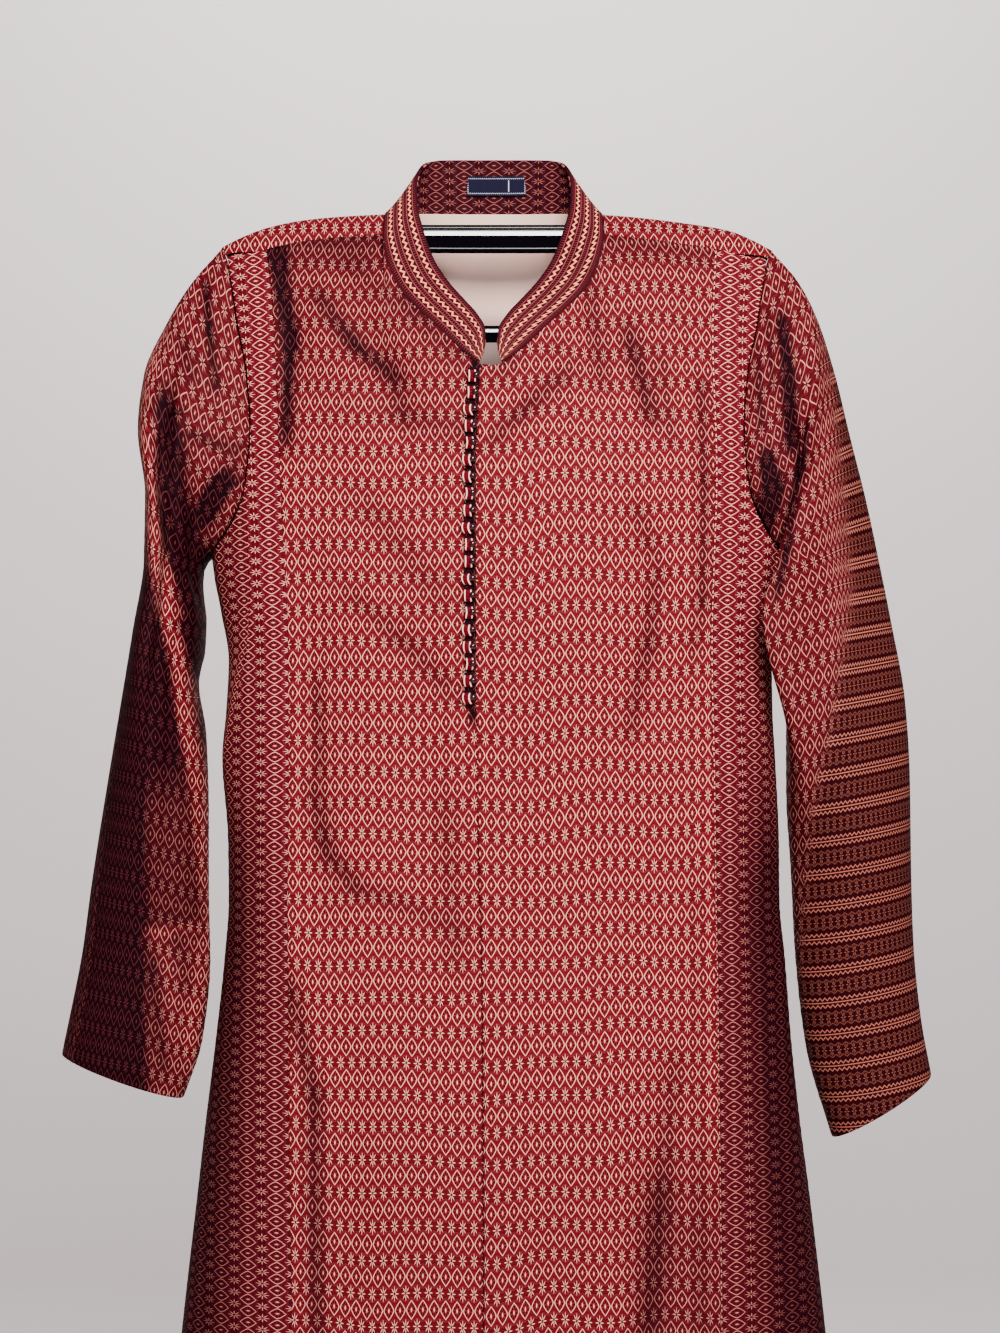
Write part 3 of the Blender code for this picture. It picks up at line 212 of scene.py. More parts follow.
def lining_material():
    """Plain beige twill, warmer along its top; painted shade makes it nearly black where it
    lies deep inside, under the lower bar.
    """
    material, shader, across, along = woven("lining", 0.62, Sheen_Weight=0.1)
    soft = noise(across, along, 22.0, 3.0, 0.5, "3D")
    cloth = soft.step(0.35, 0.7).mix((0.56, 0.325, 0.265), (0.63, 0.370, 0.305))
    cloth = along.band(-0.09, -0.017, 0.006).mix(cloth, (0.62, 0.42, 0.32))
    # painted shade deep inside the coat, below the lower bar
    cloth = (along.band(0.056, 0.115, 0.012) * 0.85).mix(cloth, (0.050, 0.022, 0.026))
    twill = ((across * 9000.0).sin() * 0.5 + 0.5) * 0.12
    dress(shader, twill.mix(cloth, (0.40, 0.28, 0.22)), soft, 0.0008, 0.25)
    return material


def millimetres(table):
    return {key: np.array(row) / 1000 for key, row in table.items()}


def metres(rows, plain=()):
    """Rows given in millimetres, but for their columns of plain numbers."""
    rows = np.array(rows, float)
    return rows * np.where(np.isin(np.arange(rows.shape[1]), plain), 1, 0.001)


# The garment's surface is a stack of flattened rings.  A place on it is an angle round the ring
# and a height; near the shoulders it closes to a ridge.  -1 and 1 are the -X and the +X side.
SIDES = {"left": -1.0, "right": 1.0}
HEM_Z = -0.985              # hem below the top bar
RIDGE_FALL = 0.22           # depth below the shoulder ridge where the body is at full depth
ROUNDNESS = 2.3             # exponent of the ring's outline, 2 is an ellipse
NECK_HALF = 0.0855          # half width of the neck at the shoulder ridge
NAPE_RISE = 0.130           # how far the back stands above the ridge line at the nape
SEAM_DROP = 0.0195          # the shoulder seam lies this far below the ridge, in front
SEAM_DROP_AT_ARM = 0.0080   # and this far at the armhole
UNDERLAP_X = 0.0120         # edge of the -X front, hidden under the other one
UNDERLAP_DEPTH = 0.0022     # how far it lies behind it
RIDGE_STATION = 4.0         # the neck seam crosses the ridge here
SHOULDER_STATION = 5.0      # and meets the shoulder seam here
COLLAR_STATIONS = 13
COLLAR_END = 12.55          # station where the collar's rounded front end stops

# the rings: height, half width on each side, depth in front and behind
BODY_RINGS = millimetres({
    "z": [30, -100, -200, -250, -292, -330, -370, -405, -470, -517, -560, -625, -690, -743, -855,
     -985],
    -1: [222, 222.5, 222.5, 222, 215, 209, 211, 214, 209.5, 209, 212, 219, 227, 233, 245.7, 258],
    1: [222, 222.5, 222.5, 222, 217, 214, 214.5, 216.5, 219.5, 220, 224, 229, 236, 243, 256, 268],
    "front": [60, 67, 73, 74, 74, 73, 71.5, 70.5, 71.5, 73, 75, 78, 81, 84, 90, 96],
    "back": [54, 57, 60, 60, 59.5, 58, 56, 55, 56, 58, 60, 63, 66, 69, 74, 79]})
# the shoulder ridge: distance from x = 0, height on each side
RIDGE = millimetres({
    "x": [0, 60, 87, 120, 150, 180, 200, 214.5, 225],
    -1: [19, 18.5, 17.5, 15.8, 13, 6.8, -0.8, -8.3, -15],
    1: [19, 18, 16.8, 13.8, 10, 5, -3, -11, -18]})
# the princess seam, and the overlapping edge of the +X front
FRONT_SEAM = millimetres({
    "z": [0, -32, -90, -187, -256, -316, -414, -511, -583, -675, -756, -830, -985],
    -1: [181, 175.5, 170, 165, 161.2, 158.8, 158, 159, 158.2, 157.2, 155.2, 153.8, 152.5],
    1: [170, 167, 164.2, 166.2, 164, 162.5, 164.5, 165.5, 166.6, 167.2, 167.9, 168.2, 168.8]})
FRONT_EDGE = millimetres({
    "z": [-104, -187, -277, -457, -585, -830, -985],
    "x": [-12.8, -15.8, -15.8, -14.3, -11.2, -10.3, -10.3]})
# neck seam and top edge of the collar, from the nape to the centre front
COLLAR = millimetres({
    "neck_x": [0, 32, 60, 79, 85.5, 85.2, 81.5, 71, 57.3, 43, 31.5, 21.5, 13, 6],
    "neck_z": [28, 27.5, 25.8, 21.2, 16.5, -3.5, -23.5, -46, -62, -75.5, -86.8, -96.5, -103.5,
     -108],
    "top_x": [0, 26, 47, 57, 60.5, 59.5, 54.5, 45, 33.5, 21.2, 11.2, 5, 4.8, 6],
    "top_y": [42, 41.2, 36, 24, 9, -4, -13, -21, -27.5, -34.5, -41, -50, -57, -59],
    "top_z": [69, 68.6, 67, 61.5, 45, 26, 5, -21.5, -39.5, -54, -66, -79, -92, -103]})
NECK_CENTRE = millimetres({
    "z": [30, -60, -105],
    "x": [-2.5, -3.5, -4.7]})
# folds: start and end in x and z, depth and half width
FRONT_FOLDS = metres([
    (-134, -30, -85, -105, 5, 16), (-95, -85, -70, -150, 4, 14), (-155, -20, -150, -120, 3.5, 12),
    (72, -50, 83, -115, 4.5, 13), (105, -85, 116, -140, 3.5, 13), (118, -250, 124, -370, 5, 16),
    (-145, -270, -138, -510, 5, 20), (-60, -330, -50, -500, 3, 22), (126, -660, 120, -985, 6, 20),
    (-115, -640, -120, -985, 5, 24), (30, -800, 35, -985, 3, 24)])
BACK_FOLDS = metres([
    (-60, -50, -105, -190, 4.5, 18), (55, -60, 110, -210, 4.5, 18), (-85, -300, -70, -560, 5, 22),
    (95, -280, 80, -480, 4.5, 20), (10, -560, 0, -985, 6, 26), (-120, -650, -135, -985, 6, 24),
    (115, -620, 130, -985, 5.5, 24)])


def smooth(value, xs, ys):
    """Read a table with a cubic curve through its rows, flat at a row that is a peak."""
    xs, ys = np.asarray(xs, float), np.asarray(ys, float)
    if xs[0] > xs[-1]:
        xs, ys = xs[::-1], ys[::-1]
    step = np.diff(xs)
    slope = np.diff(ys) / step
    inner = np.where(slope[1:] * slope[:-1] > 0,
                     2 * slope[1:] * slope[:-1] / (slope[1:] + slope[:-1] + 1e-30), 0.0)
    tangent = np.concatenate(([slope[0]], inner, [slope[-1]]))
    value = np.clip(value, xs[0], xs[-1])
    row = np.clip(np.searchsorted(xs, value) - 1, 0, len(step) - 1)
    t = (value - xs[row]) / step[row]
    return ((2 * t**3 - 3 * t**2 + 1) * ys[row] + (t**3 - 2 * t**2 + t) * step[row] * tangent[row]
            + (3 * t**2 - 2 * t**3) * ys[row + 1] + (t**3 - t**2) * step[row] * tangent[row + 1])


def read(table, column, at, by="z"):
    return smooth(at, table[by], table[column])


def stacked(*columns):
    return np.stack(np.broadcast_arrays(*columns), axis=-1)


def read_side(table, x, at, by="z"):
    """Read the column of the side that x is on."""
    return np.where(x < 0, read(table, -1, at, by), read(table, 1, at, by))


def ease(value):
    """Go from 0 to 1 with flat ends."""
    value = np.clip(value, 0.0, 1.0)
    return value * value * (3 - 2 * value)


def past(value, start, soft):
    """0 before start, 1 from soft after it."""
    return ease((value - start) / soft)


def from_line(x, z, line):
    """How far a place lies beside a line, and beyond its ends."""
    x1, z1, x2, z2 = line
    length = math.hypot(x2 - x1, z2 - z1)
    place = ((x - x1) * (x2 - x1) + (z - z1) * (z2 - z1)) / length
    beside = ((x - x1) * (z2 - z1) - (z - z1) * (x2 - x1)) / length
    return beside, np.maximum(0.0, np.maximum(-place, place - length))


def fold_depth(x, z, folds):
    """Sum of soft troughs: each is a bell across its line and fades out at the line's ends."""
    total = 0.0
    for *line, depth, width in folds:
        beside, beyond = from_line(x, z, line)
        total = total + depth * np.exp(-(beside / width) ** 2 - (beyond / (1.6 * width)) ** 2)
    return total


def creases(x, z, lines):
    """Shadow in the creases: start and end in x and z, strength and half width of each."""
    total = np.zeros(np.broadcast(x, z).shape)
    for *line, strength, width in lines:
        beside, beyond = from_line(x, z, line)
        dark = strength * np.exp(-(beside / width) ** 2 - (beyond / (2.0 * width)) ** 2)
        total = np.maximum(total, dark) + 0.3 * np.minimum(total, dark)
    return total


def ridge(x):
    """Height of the shoulder ridge."""
    return read_side(RIDGE, x, np.abs(x), "x")


def neck_centre(z):
    return read(NECK_CENTRE, "x", z)


def angle_of(x, z, behind=False):
    """Angle on the ring where the ring is at x."""
    share = np.clip(np.abs(x) / read_side(BODY_RINGS, x, z), 0.0, 1.0)
    angle = np.degrees(np.arcsin(share ** (ROUNDNESS / 2)))
    return np.where(x < 0, -1.0, 1.0) * np.where(behind, 180 - angle, angle)


def body(angle, z):
    """Point of the garment's surface at an angle round the ring and a height."""
    turn = np.radians(np.abs(angle))
    side = np.where(angle < 0, -1.0, 1.0)
    x = side * np.abs(np.sin(turn)) ** (2 / ROUNDNESS) * read_side(BODY_RINGS, side, z)
    share = np.clip(np.abs(x - neck_centre(z)) / NECK_HALF, 0, 1)
    fall = ridge(x) - z
    nape = NAPE_RISE * (1 - share**2) ** 1.4

    def depth(name, below, folds):
        rest = 1 - np.clip(below / RIDGE_FALL, 0.0, 1.0)
        full = read(BODY_RINGS, name, z) * np.sqrt(np.maximum(0.0, 1 - rest * rest))
        return full - fold_depth(x, z, folds) * ease(fall / 0.05)

    deep = np.abs(np.cos(turn)) ** (2 / ROUNDNESS)
    y = deep * np.where(np.cos(turn) >= 0, -depth("front", fall, FRONT_FOLDS),
                        depth("back", fall + nape, BACK_FOLDS))
    return stacked(x, y, z)


def body_at(x, z, behind=False):
    """Point of the garment's surface at x and a height, in front or behind."""
    return body(angle_of(x, z, behind), z)


def collar_column(station, name):
    return smooth(station, np.arange(COLLAR_STATIONS + 1), COLLAR[name])


def neck_seam(side, station):
    """x, height and whether it is behind the ridge, along the neck seam."""
    z = collar_column(station, "neck_z")
    x = neck_centre(z) + side * collar_column(station, "neck_x")
    z = z + (ridge(x) - z) * ease(1 - np.abs(station - RIDGE_STATION))
    return x, z, station < RIDGE_STATION


def seam_fall(x):
    """How far below the ridge the shoulder seam lies."""
    return SEAM_DROP + (SEAM_DROP_AT_ARM - SEAM_DROP) * past(np.abs(x), 0.180, 0.035)


def seam_corner(side):
    """x where the princess seam meets the shoulder seam."""
    z = -0.009
    for _ in range(8):
        x = side * read(FRONT_SEAM, side, z)
        z = ridge(x) - seam_fall(x)
    return x


def evened(top_share, across, fade):
    """Columns start at their shares of the top edge and spread evenly lower down."""
    return top_share + (across - top_share) * ease(fade)


SHOULDER_COLUMNS = 5        # columns of a panel that end on the shoulder seam
FRONT_NECK = [5.0, 5.6, 6.2, 6.9, 7.6, 8.4, 9.2, 10.0, 10.8, 11.6, 12.15, COLLAR_END,
              COLLAR_STATIONS]      # stations of the columns that end on the neck seam
FRONT_COLUMNS = len(FRONT_NECK) - 1 + SHOULDER_COLUMNS
FRONT_NECK_SHARE = (len(FRONT_NECK) - 1) / FRONT_COLUMNS


def front_panel(side, across, down):
    """A front, across from the centre edge to the princess seam, down from neck or shoulder."""
    shares = np.linspace(0, FRONT_NECK_SHARE, len(FRONT_NECK))
    station = np.interp(FRONT_NECK_SHARE - across, shares, FRONT_NECK)
    neck_x, neck_z, _ = neck_seam(side, np.clip(station, SHOULDER_STATION, COLLAR_STATIONS))
    point_x = neck_seam(side, np.float64(SHOULDER_STATION))[0]
    out = (across - FRONT_NECK_SHARE) / (1 - FRONT_NECK_SHARE)
    seam_x = point_x + (seam_corner(side) - point_x) * out
    on_neck = across < FRONT_NECK_SHARE
    edge_top = UNDERLAP_X if side < 0 else FRONT_EDGE["x"][0]
    under = np.clip(1 - across * FRONT_COLUMNS, 0, 1.2)       # past the neck seam's end
    top_x = np.where(on_neck, neck_x + (edge_top - neck_x) * under, seam_x)
    top_z = np.where(on_neck, neck_z - 0.002 * under, ridge(seam_x) - seam_fall(seam_x))

    def edges(z):
        inner = UNDERLAP_X + 0 * z if side < 0 else read(FRONT_EDGE, "x", z)
        return inner, side * read(FRONT_SEAM, side, z)

    inner, outer = edges(top_z)
    top_share = (top_x - inner) / (outer - inner)
    z = top_z + (HEM_Z - top_z) * down
    inner, outer = edges(z)
    x = inner + (outer - inner) * evened(top_share, across, down / 0.35)
    points = body_at(x, z)
    if side < 0:
        points[..., 1] += UNDERLAP_DEPTH * past(x - read(FRONT_EDGE, "x", z), -0.020, 0.013)
    return points


# Each cut piece is a thin shell on its solid's surface: brocade outside, lining inside, edges
# rolled in along the seams, which pucker a little where they are sewn.
def spread(count, fine=(0.004, 0.009, 0.016)):
    """Shares from 0 to 1, closer together next to both ends."""
    middle = np.linspace(0.028, 0.972, count)
    return np.concatenate(([0.0], fine, middle, 1 - np.array(fine)[::-1], [1.0]))


def lengths(points, axis):
    """Way along the surface from its first line, across (1) or down (0)."""
    steps = np.linalg.norm(np.diff(points, axis=axis), axis=-1)
    start = np.zeros_like(steps[:, :1] if axis else steps[:1])
    return np.concatenate((start, np.cumsum(steps, axis=axis)), axis=axis)


def level(points):
    """Level way round the coat from each row's first place."""
    return lengths(points[..., :2], 1)


def place_object(name, data, location=(0, 0, 0)):
    made = bpy.data.objects.new(name, data)
    made.location = location
    bpy.context.scene.collection.objects.link(made)
    return made


def put(name, mesh, node):
    """Hang a mesh in the scene in the place of a solid."""
    made = place_object(name, mesh)
    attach(made, "root")
    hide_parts(node)


def lay_uv(mesh, places):
    """Give each vertex its place on the flat cloth."""
    order = np.zeros(len(mesh.loops), int)
    mesh.loops.foreach_get("vertex_index", order)
    mesh.uv_layers.new(name="cloth").data.foreach_set("uv", places[order].ravel())
    mesh.polygons.foreach_set("use_smooth", np.ones(len(mesh.polygons), bool))


SEWN = 0.007                # seam allowance of brocade inside each edge


def shell(name, node, surface, across, down, cloth, materials, flip=False,
          wall=0.0012, lift=0.0, pucker=0.00025, shade=None, painted_copper_sheen=None, dent=None,
          lined_below=9.0):
    """Build a shell; cloth(points, s, t) gives its texture place, s and t are ways along it."""
    grid_across, grid_down = np.meshgrid(across, down)
    points = surface(grid_across, grid_down)
    s, t = lengths(points, 1), lengths(points, 0)
    cross = np.cross(np.gradient(points, axis=1), np.gradient(points, axis=0))
    area = np.linalg.norm(cross, axis=-1)
    normal = cross / (area[..., None] + 1e-12) * (-1 if flip else 1)
    beside = np.minimum(s, s[:, -1:] - s)
    nearest = np.minimum(beside, np.minimum(t, t[-1:] - t))
    wave = pucker * np.sin(t * 2 * math.pi / 0.011 + 3 * np.sin(t * 47)) * np.exp(-beside / 0.006)
    height = lift + 0 * s if dent is None else lift - dent(points)
    rolled = 0.0005 * np.exp(-(nearest / 0.0011) ** 2)
    outer = points + normal * (height + wave - rolled)[..., None]
    inner = points + normal * (height - (wall(points) if callable(wall) else wall))[..., None]
    rows, columns = s.shape
    index = np.arange(s.size).reshape(rows, columns)
    quads = stacked(index[:-1, :-1], index[:-1, 1:], index[1:, 1:], index[1:, :-1])
    quads = quads.reshape(-1, 4)
    rim = np.concatenate((index[0, :-1], index[:-1, -1], index[-1, :0:-1], index[:0:-1, 0]))
    after = np.roll(rim, -1)
    rim_faces = stacked(after, rim, rim + s.size, after + s.size)
    faces = np.concatenate((quads, quads[:, ::-1] + s.size, rim_faces))
    if flip:
        faces = faces[:, ::-1]
    mesh = bpy.data.meshes.new(name)
    mesh.vertices.add(2 * s.size)
    mesh.vertices.foreach_set("co", np.concatenate((outer, inner)).ravel())
    mesh.loops.add(faces.size)
    mesh.loops.foreach_set("vertex_index", faces.ravel())
    mesh.polygons.add(len(faces))
    mesh.polygons.foreach_set("loop_start", np.arange(0, faces.size, 4))
    mesh.polygons.foreach_set("loop_total", np.full(len(faces), 4))
    for material in materials:
        mesh.materials.append(material)
    lined = np.zeros(len(faces), int)
    covered = (nearest > SEWN) & (points[..., 2] < lined_below)
    lined[len(quads):len(quads) * 2] = covered[:-1, :-1].ravel() * (len(materials) - 1)
    mesh.polygons.foreach_set("material_index", lined)
    mesh.update(calc_edges=True)
    flat = stacked(*cloth(points, s, t)).reshape(-1, 2)
    lay_uv(mesh, np.concatenate((flat, flat)))
    # painted shade and painted copper sheen, given per vertex
    for key, give in (("shade", shade), ("painted_copper_sheen", painted_copper_sheen)):
        values = np.zeros(s.shape) if give is None else give(points, s, t)
        values = np.broadcast_to(values, s.shape).ravel().astype(np.float32)
        data = mesh.attributes.new(key, "FLOAT", "POINT").data
        data.foreach_set("value", np.concatenate((values, values)))
    put(name, mesh, node)


brocade_cloth, lining_cloth = brocade("brocade"), lining_material()
COAT = (brocade_cloth, lining_cloth)
LONG_EDGE = (0.0008, 0.0020, 0.0040)        # first shares down a long panel
# creases of the fronts, for painted shade and shallow dents: start and end in x and z,
# strength, half width
FRONT_SHADE = {
    "left": metres([
        (-169.1, -21, -158.7, -84, 1, 7.8), (-158.7, -84, -160.1, -159, 0.85, 6.8),
        (-133.3, -56, -109.5, -88, 0.5, 7.8), (-109.5, -88, -81.2, -113, 0.6, 7.8),
        (-81.2, -113, -70.7, -145, 0.4, 7.8), (-113.2, -26, -72.2, -62, 0.25, 9.7),
        (-72.2, -54, -33.5, -99, 0.4, 7.8), (-73.7, -145, -27.5, -159, 0.25, 8.7),
        (-94.6, -218, -49.9, -274, 0.25, 11.6), (-105.7, -285, -72.2, -315, 0.3, 7.8),
        (-72.2, -315, -40.9, -347, 0.35, 8.7), (-137, -353, -134.8, -412, 0.45, 5.9),
        (-137.8, -434, -130.3, -473, 0.55, 7.8), (-130.3, -473, -108, -500, 0.5, 7.8),
        (-108, -500, -35, -530, 0.32, 8.7), (-38.7, -449, -31.2, -546, 0.28, 11.6),
        (-155.7, -584, -137.8, -658, 0.55, 8.7), (-137.8, -658, -134.8, -829, 0.6, 7.8)], 4),
    "right": metres([
        (2.3, -160, 24.7, -138, 0.42, 7.8), (24.7, -138, 48.5, -117, 0.38, 7.8),
        (6, -108, 38.1, -95, 0.28, 6.8), (69.4, -40, 79.1, -113, 0.35, 6.8),
        (102.2, -90, 115.6, -142, 0.62, 7.8), (124.5, -107, 131.2, -159, 0.28, 6.8),
        (155.8, -125, 157.3, -196, 0.5, 5.9), (157.3, -196, 155.8, -285, 0.5, 5.9),
        (155.8, -285, 149.8, -319, 0.3, 6.8), (106.6, -222, 121.5, -263, 0.32, 6.8),
        (117.8, -278, 115.6, -323, 0.45, 6.8), (112.6, -319, 102.2, -376, 0.42, 7.8),
        (133.4, -643, 123, -733, 0.34, 9.7), (123, -733, 114.1, -829, 0.4, 11.6),
        (151.3, -509, 152.8, -829, 0.18, 7.8)], 4)}


def front_place(side):
    """The rows ripple a little and sag next to the opening."""
    def cloth(points, s, t):
        x, z = points[..., 0], points[..., 2]
        u = side * points[:, :1, 0] + level(points)
        rise = 0.0020 * np.sin(x * 70 + z * 9) + 0.0012 * np.sin(z * 31 + x * 20)
        if side < 0:
            return u, -z + 0.6 * rise - 0.0023
        return u, -z - 0.0050 * (1 - past(x, 0.008, 0.045)) * past(-z, 0.10, 0.15) + rise + 0.0007
    return cloth


def front_shade(name):
    """Painted shade: in the creases, over the shoulders and upper chest, low on the skirt, and a
    painted shadow at the opening.
    """
    def give(points, s, t):
        x, z = points[..., 0], points[..., 2]
        shade = creases(x, z, FRONT_SHADE[name]) + 0.48 * past(z, -0.045, 0.045)
        shade = shade + 0.16 * past(z, -0.20, 0.14) + 0.10 * past(-z, 0.62, 0.14)
        from_edge = x - read(FRONT_EDGE, "x", z)
        if name == "right":
            # painted shade low on the outer skirt, and a painted shadow line along the
            # overlapping edge
            shade = shade + 0.30 * past(x, 0.085, 0.03) * past(-z, 0.66, 0.12)
            open_below = 0.55 * past(-z, 0.42, 0.05) + 0.40 * past(-z, 0.57, 0.04)
            shade = shade + open_below * np.exp(-(from_edge / 0.0012) ** 2)
        else:
            shade = shade + 0.10 * past(z, -0.20, 0.06)
            # painted shadow under the overlap, beside the loops
            closed = past(-z, 0.085, 0.012) * past(z, -0.385, 0.012)
            shade = shade + closed * np.exp(-((from_edge + 0.0028) / 0.0038) ** 4)
        return np.clip(shade, 0, 1)
    return give


for name, side in SIDES.items():
    shell("cloth_front_" + name, "front_" + name, lambda a, d, q=side: front_panel(q, a, d),
          spread(100), spread(250, LONG_EDGE), front_place(side), COAT, flip=side > 0,
          shade=front_shade(name),
          dent=lambda p, n=name: 0.0022 * creases(p[..., 0], p[..., 2], FRONT_SHADE[n]))


# ---------------------------------------------------------------- side fronts and side backs
# The side pieces are cut a quarter turn round, so their ovals lie flat and stand in columns.
# Below the waist they turn away from the light; painted shade and a darker copy of the
# brocade make them maroon there.
# armhole, going round from the ridge (0) to the underarm (180): angle on the body's ring
ARMHOLE = {"turn": [0, 40, 60, 80, 100, 125, 145, 160, 180],
           "angle": [73.5, 66.0, 62.3, 57.5, 55.6, 57.8, 65.4, 76.5, 90.0]}
ARMHOLE_TOP, ARMHOLE_BOTTOM = {-1: -0.0083, 1: -0.0110}, -0.2500
SHOULDER_TURN = 22.0        # where the shoulder seam meets the armhole
BACK_SEAM_TURN = 85.0       # and where the back princess seam leaves it, behind
SIDE_SEAM = {               # height, angle on each side
    "z": [0, -0.198, -0.256, -0.300, -0.333, -0.365, -0.400, -0.440, -0.985],
    -1: [57.6, 57.6, 57, 61, 67.5, 73, 80, 88, 93], 1: [82, 83, 83.5, 84, 84.5, 85, 85.5, 86, 92]}
BACK_SEAM = millimetres({
    "z": [0, -118, -180, -250, -330, -420, -560, -750, -985],
    "x": [188, 188, 166, 149, 137, 132, 136, 146, 158]})


def armhole(side, turn):
    """Angle and height on the body where the armhole runs, 0 at the ridge, 180 underneath."""
    away = np.abs((turn + 180.0) % 360.0 - 180.0)
    top = ARMHOLE_TOP[side]
    height = ((top + ARMHOLE_BOTTOM) / 2
              + (top - ARMHOLE_BOTTOM) / 2 * np.cos(np.radians(turn)))
    angle = read(ARMHOLE, "angle", away, "turn")
    return side * np.where(np.sin(np.radians(turn)) >= 0, angle, 180 - angle), height


def armhole_at(side, height):
    """Angle on the body where the armhole is at a height, in front."""
    top = ARMHOLE_TOP[side]
    share = (height - (top + ARMHOLE_BOTTOM) / 2) / ((top - ARMHOLE_BOTTOM) / 2)
    return armhole(side, np.degrees(np.arccos(np.clip(share, -1, 1))))[0]


def side_seam(side, z):
    return side * read(SIDE_SEAM, side, z)


def side_join(side):
    """Turn and height of the armhole where the side seam starts."""
    turns = np.linspace(100.0, 179.0, 400)
    angles, heights = armhole(side, turns)
    place = int(np.argmax(side * (angles - side_seam(side, heights)) > 0))
    return turns[place], heights[place]


def side_front_panel(side, across, down):
    """A side front, across from the princess seam to the armhole and the side seam."""
    corner_x = seam_corner(side)
    arm_angle, arm_z = armhole(side, np.float64(SHOULDER_TURN))
    arm_x = body(arm_angle, arm_z)[..., 0]
    top_x = corner_x + (arm_x - corner_x) * across
    top_z = ridge(top_x) - seam_fall(top_x)
    top_z = top_z + (arm_z - (ridge(arm_x) - seam_fall(arm_x))) * across
    z = top_z + (HEM_Z - top_z) * down
    inner = angle_of(side * read(FRONT_SEAM, side, z), z)
    outer = np.where(z > side_join(side)[1], armhole_at(side, z), side_seam(side, z))
    return body(inner + (outer - inner) * across, z)


def side_back_panel(side, across, down):
    """A side back, across from the side seam to the back princess seam, under the armhole."""
    first, last = side_join(side)[0], 360.0 - BACK_SEAM_TURN
    top_angle, top_z = armhole(side, first + (last - first) * across)

    def edges(z):
        return side_seam(side, z), angle_of(side * read(BACK_SEAM, "x", z), z, True)

    start, end = edges(top_z)
    top_share = (top_angle - start) / (end - start)
    z = top_z + (HEM_Z - top_z) * down
    start, end = edges(z)
    return body(start + (end - start) * evened(top_share, across, down / 0.30), z)


def side_place(side, behind):
    offset = (0.0011 if side < 0 else -0.0005) + (0.0060 if behind else 0)
    return lambda points, s, t: (-points[..., 2], level(points) + offset)


# painted shade: darker outwards and below the waist, more on the +X side
def side_front_shade(points, s, t):
    x, z = points[..., 0], points[..., 2]
    lower = past(-z, 0.25, 0.26)
    far_side = past(x, 0.0, 0.02) * 0.15 * lower
    out = ease(s / s[:, -1:] * 1.5)
    return np.clip(0.05 + 0.54 * lower * out + 0.30 * past(-z, 0.36, 0.22) + far_side, 0, 0.92)


# painted shade, darker low down
def side_back_shade(points, s, t):
    return 0.30 + 0.25 * past(-points[..., 2], 0.38, 0.25)


# a darker copy of the brocade: painted shade for the side pieces
side_brocade_shaded = brocade("side brocade", ground=(0.092, 0.0026, 0.0065), thread=(1.0, 0.39, 0.31))
for name, side in SIDES.items():
    for kind, panel, fine, down, shade in (
            ("front", side_front_panel, (0.012, 0.025), spread(250, LONG_EDGE), side_front_shade),
            ("back", side_back_panel, (0.006, 0.014), spread(150, (0.001, 0.0025)),
             side_back_shade)):
        shell(f"cloth_side_{kind}_{name}", f"side_{kind}_{name}",
              lambda a, d, q=side, f=panel: f(q, a, d), spread(44, fine), down,
              side_place(side, kind == "back"), (side_brocade_shaded, lining_cloth), flip=side > 0,
              shade=shade)


# ---------------------------------------------------------------- back
# The back is in two halves; each comes forward over its shoulder to a dropped shoulder seam.
# Way over the ridge counts the quarter ellipse's angle first, then even steps of height.
WAY_STEP = 0.12             # height that counts as one unit of way, below full depth
SHOULDER_SEAM_END = 0.2116  # where the shoulder seam meets the armhole
ROWS_TO_TOP = 1.4           # rows of the back crowd towards the ridge
BACK_NECK = [0.0, 0.35, 0.70, 1.2, 1.9, 2.5, 3.0, 3.5, 4.0, 4.5, 5.0]      # as FRONT_NECK
BACK_NECK_SHARE = (len(BACK_NECK) - 1) / (len(BACK_NECK) - 1 + SHOULDER_COLUMNS)
# creases of the back, for painted shade and shallow dents: start and end in x and z, strength,
# half width
BACK_CREASES = metres([
    (-125, -50, -90, -165, 0.7, 6), (118, -45, 98, -140, 0.6, 7), (-70, -230, -56, -330, 0.45, 8),
    (86, -262, 72, -372, 0.55, 7), (-108, -430, -122, -640, 0.5, 10),
    (64, -520, 76, -760, 0.45, 11), (-35, -600, -30, -820, 0.4, 9),
    (126, -330, 133, -460, 0.5, 7)], 4)


def way_of(fall):
    share = 1 - np.clip(np.abs(fall) / RIDGE_FALL, 0, 1)
    deep = np.maximum(0, np.abs(fall) - RIDGE_FALL)
    return np.sign(fall) * (np.arccos(share) + deep / WAY_STEP)


def fall_of(way):
    bent = RIDGE_FALL * (1 - np.cos(np.minimum(np.abs(way), math.pi / 2)))
    return np.sign(way) * (bent + np.maximum(0, np.abs(way) - math.pi / 2) * WAY_STEP)


def back_edge(side, fall):
    """Distance from x = 0 of the back's outer edge: the armhole, then the back princess seam."""
    edge = np.full_like(fall, 0.2145)
    for _ in range(4):
        z = ridge(side * edge) - np.abs(fall)
        seam = read(BACK_SEAM, "x", z)
        for sign in SIDES.values():
            start_z = armhole(sign, np.float64(BACK_SEAM_TURN))[1]
            hole = np.abs(body(armhole_at(sign, z), z)[..., 0])
            edge = np.where(side == sign, np.where(z > start_z, hole, seam), edge)
    return edge


